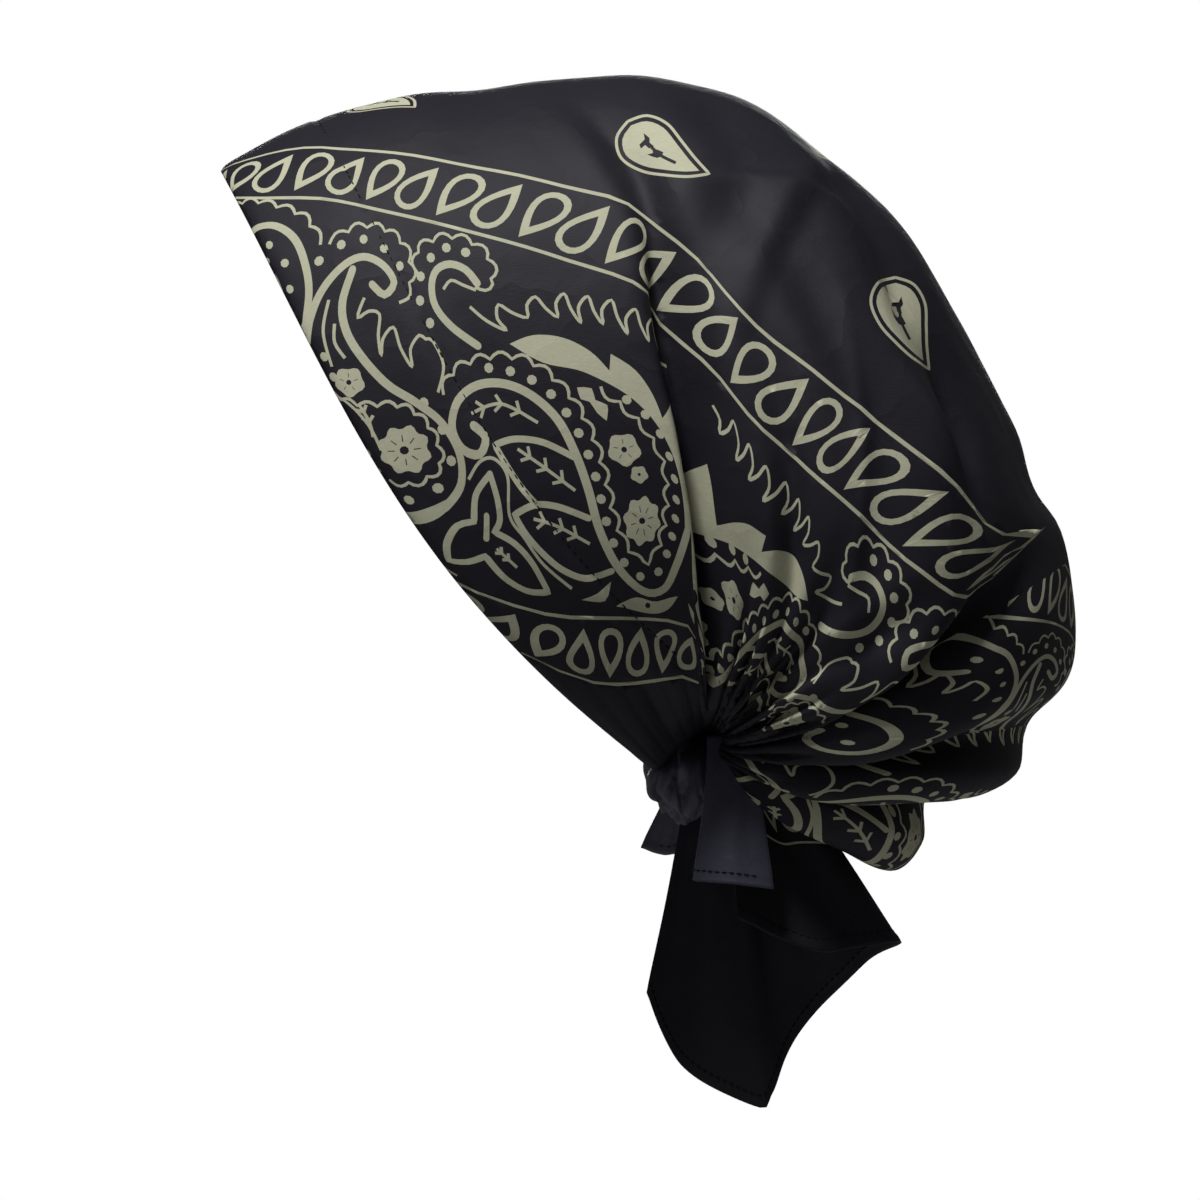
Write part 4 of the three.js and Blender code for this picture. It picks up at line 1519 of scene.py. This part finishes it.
    def build(self) -> bpy.types.Object:
        """Makes the crown's sheet."""
        wide = self.form.pole_deg * self.degree_run
        cut = SheetCut((0.0, -wide), (float(self.row_run[-1]), wide), self.face_step, self.lining_step,
                       self.RIM_STEP, self.thickness)
        return ClothSheet(cut, self.surface, self.shapes()).build("crown_printed_cloth", self.facing)

    def add(self, wardrobe: Wardrobe) -> None:
        """Makes the crown and dresses it."""
        piece = self.build()
        wardrobe.dress(piece, (Finish.COTTON, Finish.PRINT), "printed_cloth", "crown_cloth")


@dataclass
class FrontHem:
    """The cloth turned under behind the crown's front edge, with the stitches that hold it."""

    crown: CrownCloth
    end_deg: float = 138.0
    thickness: float = 0.6
    air: float = 0.35
    step: float = 3.2
    stitch_pitch: float = 2.7
    stitch_length: float = 1.9
    stitch_width: float = 0.42
    edge_gap: float = 1.0
    edge_clear: float = 0.7
    past_seam: float = 1.2
    rim_step: float = 3.0
    seam_deg_step: float = 0.25

    def place(self, behind: np.ndarray, degs: np.ndarray, depth: float) -> np.ndarray:
        """Places at a depth below the crown's outer face, by the distance behind the front edge."""
        rows = self.crown.behind_to_rows(behind, degs)
        at = self.crown.to_sheet(rows, degs)
        face = self.crown.surface(at[:, 0], at[:, 1])
        return face - self.crown.facing(at[:, 0], at[:, 1]) * depth

    def surface(self, a: np.ndarray, b: np.ndarray) -> np.ndarray:
        """The ply's outer face, which lies against the crown's lining side."""
        return self.place(a, -b / self.crown.degree_run, self.crown.thickness + self.air)

    def facing(self, a: np.ndarray, b: np.ndarray) -> np.ndarray:
        """The unit normals of the ply."""
        low, high = self.edge_gap + self.edge_clear, self.crown.hem_width - self.edge_clear
        return unit_normals(self.surface, np.clip(a, low, high), b)

    def build(self) -> bpy.types.Object:
        """Makes the ply."""
        wide = self.end_deg * self.crown.degree_run
        cut = SheetCut((self.edge_gap, -wide), (self.crown.hem_width + self.past_seam, wide),
                       self.step, self.step, self.rim_step, self.thickness)
        return ClothSheet(cut, self.surface).build("front_hem_ply", self.facing)

    def build_stitches(self) -> bpy.types.Object:
        """Makes the row of stitches that shows on the crown along the seam."""
        degs = np.arange(-self.end_deg, self.end_deg, self.seam_deg_step)
        behind = np.full_like(degs, self.crown.hem_width)
        line = self.place(behind, degs, 0.0)
        out = self.place(behind, degs, -1.0) - line
        return stitches_along("front_hem_stitches", [Seam(line, out)], self.stitch_pitch,
                              self.stitch_length, self.stitch_width)

    def add(self, wardrobe: Wardrobe) -> None:
        piece = self.build()
        wardrobe.dress(piece, (Finish.COTTON,), "printed_cloth", "front_hem")
        wardrobe.dress(self.build_stitches(), (Finish.THREAD,), "printed_cloth")


@dataclass(frozen=True)
class Seam:
    """Places along a seam, in millimetres, and the normals of the cloth there."""

    line: np.ndarray
    out: np.ndarray

    @cached_property
    def run(self) -> np.ndarray:
        """The distance along the seam to each of its places."""
        return run_along(self.line)

    def at(self, distance: float) -> tuple[Vector, Vector]:
        """The place and the unit normal at a distance along the seam."""
        place = Vector(np.interp(distance, self.run, self.line[:, axis]) for axis in range(3))
        normal = Vector(np.interp(distance, self.run, self.out[:, axis]) for axis in range(3))
        return place, normal.normalized()


class StitchRing(NamedTuple):
    """One ring of a stitch: how far along it, and its lift and width as shares of the thread's width."""

    share: float
    lift: float
    wide: float


STITCH_RINGS = (StitchRing(0.0, -0.09, 0.5), StitchRing(0.18, 0.21, 1.0), StitchRing(0.5, 0.3, 1.0),
                StitchRing(0.82, 0.21, 1.0), StitchRing(1.0, -0.09, 0.5))
STITCH_SIDES = 6


def add_stitch(mesh: bmesh.types.BMesh, seam: Seam, start: float, length: float, width: float) -> None:
    """Adds one short rounded stitch to a mesh.

    Args:
        mesh: the mesh.
        seam: the seam that it lies on.
        start: where it starts along the seam.
        length: its length.
        width: the thread's width.
    """
    rings = []
    for ring in STITCH_RINGS:
        middle = start + ring.share * length
        place, normal = seam.at(middle)
        ahead = seam.at(middle + 0.3)[0] - seam.at(middle - 0.3)[0]
        side = normal.cross(ahead.normalized())
        centre = place + normal * (ring.lift * width)
        verts = []
        for k in range(STITCH_SIDES):
            turn = math.tau * k / STITCH_SIDES
            spoke = side * math.cos(turn) + normal * math.sin(turn)
            verts.append(mesh.verts.new((centre + spoke * (ring.wide * width / 2)) * MM))
        rings.append(verts)
    for near, far in zip(rings, rings[1:]):
        for k in range(STITCH_SIDES):
            n = (k + 1) % STITCH_SIDES
            mesh.faces.new((near[k], near[n], far[n], far[k])).smooth = True
    mesh.faces.new(rings[0][::-1])
    mesh.faces.new(rings[-1])


def stitches_along(name: str, seams: Sequence[Seam], pitch: float, length: float,
                   width: float) -> bpy.types.Object:
    """Makes a piece of short rounded stitches in rows along seams.

    Args:
        name: the piece's name.
        seams: the seams.
        pitch: the distance from one stitch to the next.
        length: the length of one stitch.
        width: the thread's width.

    Returns:
        The new object.
    """
    mesh = bmesh.new()
    for seam in seams:
        for index in range(int((seam.run[-1] - length) / pitch)):
            add_stitch(mesh, seam, index * pitch, length, width)
    bmesh.ops.recalc_face_normals(mesh, faces=mesh.faces)
    return new_piece(name, mesh)


# ---------------- the ends that hang below the knot


@dataclass(frozen=True)
class HangingEnd:
    """A piece of cloth that fans out from the knot to a curved, stitched hem.

    Its root lies along a line at the knot; past the share turn_back of the hem the root doubles back, so
    that the rest of the cloth lies folded over the first part.
    """

    name: str
    node: str
    root: Place
    root_span: Place
    hem: tuple[Place, ...]
    ripple: float
    ripples: float
    length: float
    thickness: float
    step: float
    seed: float = 0.0
    hem_turn: float = 4.0
    hem_rise: float = 0.30
    seam_dip: float = 0.35
    stitch_pitch: float = 2.2
    stitch_share: float = 0.72
    stitch_width: float = 0.34
    edge_clear: float = 0.7
    turn_back: float = 1.0
    lift: float = 0.0
    finish: Finish = Finish.SATIN
    slot: str = "tie_satin"
    flat: Flat = (0.027, 0.029)
    laid_area: float = 0.00065

    @cached_property
    def hem_line(self) -> tuple[np.ndarray, np.ndarray]:
        """The run and the places of the hem, from a fine curve through its points."""
        at = np.linspace(0, len(self.hem) - 1, 200)
        columns = [along_rows([point[axis] for point in self.hem], at) for axis in range(3)]
        line = np.stack(columns, -1)
        return run_along(line), line

    @property
    def width(self) -> float:
        """The length of the hem."""
        return float(self.hem_line[0][-1])

    def ends_of(self, a: np.ndarray) -> tuple[np.ndarray, np.ndarray]:
        """Where the cloth at a leaves the knot, and where it reaches the hem."""
        run, line = self.hem_line
        low = np.stack([np.interp(a, run, line[:, axis]) for axis in range(3)], -1)
        share = np.asarray(a) / run[-1]
        past = np.clip((share - self.turn_back) / max(1.0 - self.turn_back, 1e-6), 0.0, 1.0)
        place = np.minimum(share / self.turn_back, 1.0) - 0.55 * past - 0.5
        high = np.array(self.root) + np.array(self.root_span) * place[..., None]
        high[..., 0] += self.lift * past
        return high, low

    def above_hem(self, a: np.ndarray, height: np.ndarray) -> np.ndarray:
        """The sheet's second coordinate of places that lie a height above the hem."""
        high, low = self.ends_of(a)
        return self.length * (1 - height / np.linalg.norm(low - high, axis=-1))

    def surface(self, a: np.ndarray, b: np.ndarray) -> np.ndarray:
        """Places on the end: a runs along the hem and b from the knot down to the hem."""
        run, line = self.hem_line
        share, down = a / run[-1], b / self.length
        high, low = self.ends_of(a)
        across = np.stack([np.interp(a + 3, run, line[:, axis]) - np.interp(a - 3, run, line[:, axis])
                           for axis in range(3)], -1)
        fall = low - high
        normal = np.cross(across, fall)
        normal /= np.maximum(np.linalg.norm(normal, axis=-1, keepdims=True), 1e-9)
        wave = np.sin(2 * np.pi * self.ripples * share + self.seed + 0.6 * np.sin(3.1 * down + self.seed))
        fine = 0.35 * np.sin(2 * np.pi * self.ripples * 2.7 * share + 1.9 * self.seed + 2.0 * down)
        grow = np.sin(np.pi * np.clip(down, 0, 1) ** 0.8) * 0.7 + 0.3 * np.clip(down, 0, 1)
        height = self.ripple * (wave + fine) * grow
        above = np.linalg.norm(fall, axis=-1) * (1 - down)
        height += self.hem_rise * (1 - smooth_step(above, self.hem_turn + 0.2, self.hem_turn + 1.0))
        height -= self.seam_dip * np.exp(-(((above - self.hem_turn) / 0.55) ** 2))
        return high + fall * down[:, None] + normal * height[:, None]

    def facing(self, a: np.ndarray, b: np.ndarray) -> np.ndarray:
        """The unit normals of the end."""
        low, wide, long = self.edge_clear, self.width - self.edge_clear, self.length - self.edge_clear
        return unit_normals(self.surface, np.clip(a, low, wide), np.clip(b, low, long))

    def build(self) -> bpy.types.Object:
        """Makes the end's sheet, with the square's border on it if its cloth is the printed one."""
        cut = SheetCut((0.0, 0.0), (self.width, self.length), self.step, self.step, self.step, self.thickness)
        shapes = self.border() if self.finish is Finish.COTTON else ()
        return ClothSheet(cut, self.surface, shapes).build(self.name, self.facing)

    def add(self, wardrobe: Wardrobe) -> None:
        piece = self.build()
        finishes = (self.finish, Finish.PRINT) if self.finish is Finish.COTTON else (self.finish,)
        wardrobe.dress(piece, finishes, self.slot, self.node)
        stitches = self.build_stitches(self.name.rsplit("_", 1)[0] + "_stitches")
        wardrobe.dress(stitches, (Finish.THREAD,), self.slot)

    def build_stitches(self, name: str) -> bpy.types.Object:
        """Makes the stitches of the hem, which show on both faces of the cloth."""
        a = np.linspace(0.8, self.width - 0.8, 160)
        b = self.above_hem(a, np.full_like(a, self.hem_turn))
        line, out = self.surface(a, b), self.facing(a, b)
        seams = (Seam(line, out), Seam(line - out * self.thickness, -out))
        return stitches_along(name, seams, self.stitch_pitch, self.stitch_pitch * self.stitch_share,
                              self.stitch_width)

    def border(self) -> list[Shape]:
        """The square's outer band of drops, run along the hem in the sheet's own coordinates."""
        chart = PrintChart()
        for v in (34.0, 54.5):
            line = [(u, v) for u in np.linspace(-1.0, self.width + 1.0, 120)]
            chart.stroke(line, chart.fine * 0.8, smooth=False)
        row = DROP_ROWS[1]
        for k in range(int(self.width / row.pitch)):
            chart.drop((4.0 + k * row.pitch, 44.3), (270 if k % 2 else 90) - 8, row.length, row.across, 1.5)
        shapes = []
        for shape in chart.shapes:
            flat = np.array(shape.outline)
            down = self.above_hem(np.clip(flat[:, 0], 0, self.width), flat[:, 1])
            shapes.append(Shape([(float(u), float(b)) for u, b in zip(flat[:, 0], down)], shape.ink))
        return shapes


CORNER_TAIL = HangingEnd(
    "tail_printed_cloth", "corner_tail", root=(7, 27, -200), root_span=(16, 26, 6),
    hem=((-13, 2, -266), (-12, 12, -287), (-8, 34, -298.8), (-7.5, 38.5, -295.5), (-6, 47, -277),
         (-3, 66, -256.5), (5, 76, -250.5), (15, 62, -251.5), (20, 50, -252), (21, 28, -242.5)),
    ripple=2.0, ripples=3.0, length=84.0, thickness=0.7, step=1.8, turn_back=0.68, lift=4.0,
    finish=Finish.COTTON, slot="printed_cloth", flat=(0.2, 0.084), laid_area=0.0068)
LEFT_TIE_END = HangingEnd(
    "left_tie_satin", "left_tie_end", root=(23.0, 26.0, -189.8), root_span=(7, 13, 0.6),
    hem=((22, 19, -229), (24, 15, -231.5), (28, 19, -232.0), (31, 27, -232.5), (29, 38.5, -234)),
    ripple=0.6, ripples=1.3, length=40.0, thickness=0.55, step=1.0, seed=1.0, hem_turn=3.2)
RIGHT_TIE_END = HangingEnd(
    "right_tie_satin", "right_tie_end", root=(-15, 13, -205), root_span=(-2.5, -6, 1.5),
    hem=((-23, 17, -224.5), (-29, 8, -226), (-27, 0.5, -224)),
    ripple=0.7, ripples=1.5, length=20.0, thickness=0.55, step=1.0, seed=2.0, hem_turn=3.0,
    flat=(0.018, 0.019), laid_area=0.0003)


@dataclass(frozen=True)
class NapeKnot:
    """The tied satin knot that draws the crown's gathers together."""

    centre: Place = (0.0, 12.8, -201.0)
    half: Place = (18.5, 12.2, 14.6)
    rings: int = 110
    slices: int = 160
    fullness: float = 1.04
    puff: float = 0.22
    puff_scale: float = 0.8
    tuck: float = 0.16
    tuck_scale: float = 1.2
    wander: float = 0.45
    seed: Vector = field(default_factory=lambda: Vector((4.3, 1.7, 2.9)))

    def build(self) -> bpy.types.Object:
        """Makes the knot as a lump of puckered satin, with sharp valleys between soft puffs."""
        mesh = bmesh.new()
        bmesh.ops.create_uvsphere(mesh, u_segments=self.slices, v_segments=self.rings, radius=1.0)
        for vert in mesh.verts:
            vert.co *= self.size_at(vert.co)
            vert.co = Vector(c + h * v for c, h, v in zip(self.centre, self.half, vert.co)) * MM
        bmesh.ops.smooth_vert(mesh, verts=mesh.verts, factor=0.5, use_axis_x=True, use_axis_y=True,
                              use_axis_z=True)
        flat_layer = mesh.loops.layers.uv.new("Flat")
        for face in mesh.faces:
            face.smooth = True
            for loop in face.loops:
                place = loop.vert.co
                loop[flat_layer].uv = (place.x + place.y, place.z)
        return new_piece("knot_satin", mesh)

    def size_at(self, way: Vector) -> float:
        """How far the satin stands out along a way from the middle; its valleys slant across the knot."""
        x, y, z = way
        place = Vector((1.3 * x, 1.9 * y - 0.5 * z, 0.6 * z + 0.5 * y)) + self.seed
        place += self.wander * noise.noise_vector(place * self.tuck_scale)
        roughness, gap, octaves, offset, gain = 1.3, 2.3, 2.0, 1.0, 1.5
        crease = noise.ridged_multi_fractal(place * self.tuck_scale, roughness, gap, octaves, offset, gain,
                                            noise_basis="PERLIN_ORIGINAL")
        puff = noise.noise(place * self.puff_scale + self.seed)
        return self.fullness - self.tuck * crease + self.puff * puff

    def add(self, wardrobe: Wardrobe) -> None:
        """Makes the knot and dresses it."""
        wardrobe.dress(self.build(), (Finish.SATIN,), "tie_satin", "nape_knot")


# ---------------- the studio


@dataclass(frozen=True)
class Lamp:
    """One soft square lamp: where it is, what it points at, its power in watts and its side in metres."""

    name: str
    place: Place
    target: Place
    power: float
    size: float

    def build(self) -> bpy.types.Object:
        """Makes the lamp."""
        data = bpy.data.lights.new(self.name, "AREA")
        data.energy, data.size = self.power, self.size
        lamp = bpy.data.objects.new(self.name, data)
        lamp.location = self.place
        lamp.rotation_euler = (Vector(self.target) - Vector(self.place)).to_track_quat("-Z", "Y").to_euler()
        bpy.context.scene.collection.objects.link(lamp)
        return lamp


@dataclass(frozen=True)
class Studio:
    """A white floor well below the scarf, a world that is white to the camera alone, and two soft lamps."""

    floor_z: float = -2.0
    half_width: float = 2.4
    world: float = 0.11
    lamps: tuple[Lamp, ...] = (
        Lamp("key_lamp", (0.78, -0.44, 1.28), (0.0, 0.0, -0.06), 36.0, 0.45),
        Lamp("far_side_lamp", (-1.4, 0.0, 0.05), (0.0, 0.0, -0.12), 18.0, 0.6))

    def build(self) -> None:
        """Makes the floor, the lamps and the world's light."""
        mesh = bmesh.new()
        bmesh.ops.create_grid(mesh, x_segments=1, y_segments=1, size=self.half_width,
                              matrix=Matrix.Translation((0.0, 0.0, self.floor_z)))
        floor = new_piece("studio_floor", mesh)
        floor.data.materials.append(floor_finish())
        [lamp.build() for lamp in self.lamps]
        world = bpy.data.worlds.new("studio_light")
        world.use_nodes = True
        sheet = NodeSheet(world.node_tree)
        background = world.node_tree.nodes["Background"]
        background.inputs["Color"].default_value = (1, 1, 1, 1)
        seen = sheet.add("ShaderNodeLightPath").outputs["Is Camera Ray"]
        strength = sheet.math("ADD", self.world, sheet.math("MULTIPLY", seen, 1.0 - self.world))
        sheet.link(strength, background.inputs["Strength"])
        bpy.context.scene.world = world
        bpy.context.scene.view_settings.view_transform = "Standard"


@dataclass(frozen=True)
class SideCamera:
    """The camera, level with the scarf and square to its left side; sizes in millimetres."""

    lens: float = 220.0
    sensor: float = 36.0
    frame_width: float = 350.0
    middle: Place = (0.0, -11.6, -150.8)

    def build(self) -> None:
        """Makes the camera and looks through it."""
        data = bpy.data.cameras.new("side_camera")
        data.lens, data.sensor_width = self.lens, self.sensor
        camera = bpy.data.objects.new("side_camera", data)
        away = self.frame_width * self.lens / self.sensor
        camera.location = Vector((self.middle[0] + away, *self.middle[1:])) * MM
        camera.rotation_euler = (math.pi / 2, 0, math.pi / 2)
        bpy.context.scene.collection.objects.link(camera)
        bpy.context.scene.camera = camera


def main() -> None:
    """Builds the scarf, piece by piece, and the studio round it."""
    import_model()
    wardrobe = Wardrobe()
    crown = CrownCloth()
    for part in (crown, FrontHem(crown), CORNER_TAIL, LEFT_TIE_END, RIGHT_TIE_END, NapeKnot()):
        part.add(wardrobe)
    Studio().build()
    SideCamera().build()


if __name__ == "__main__":
    logging.basicConfig(level=logging.INFO)
    main()
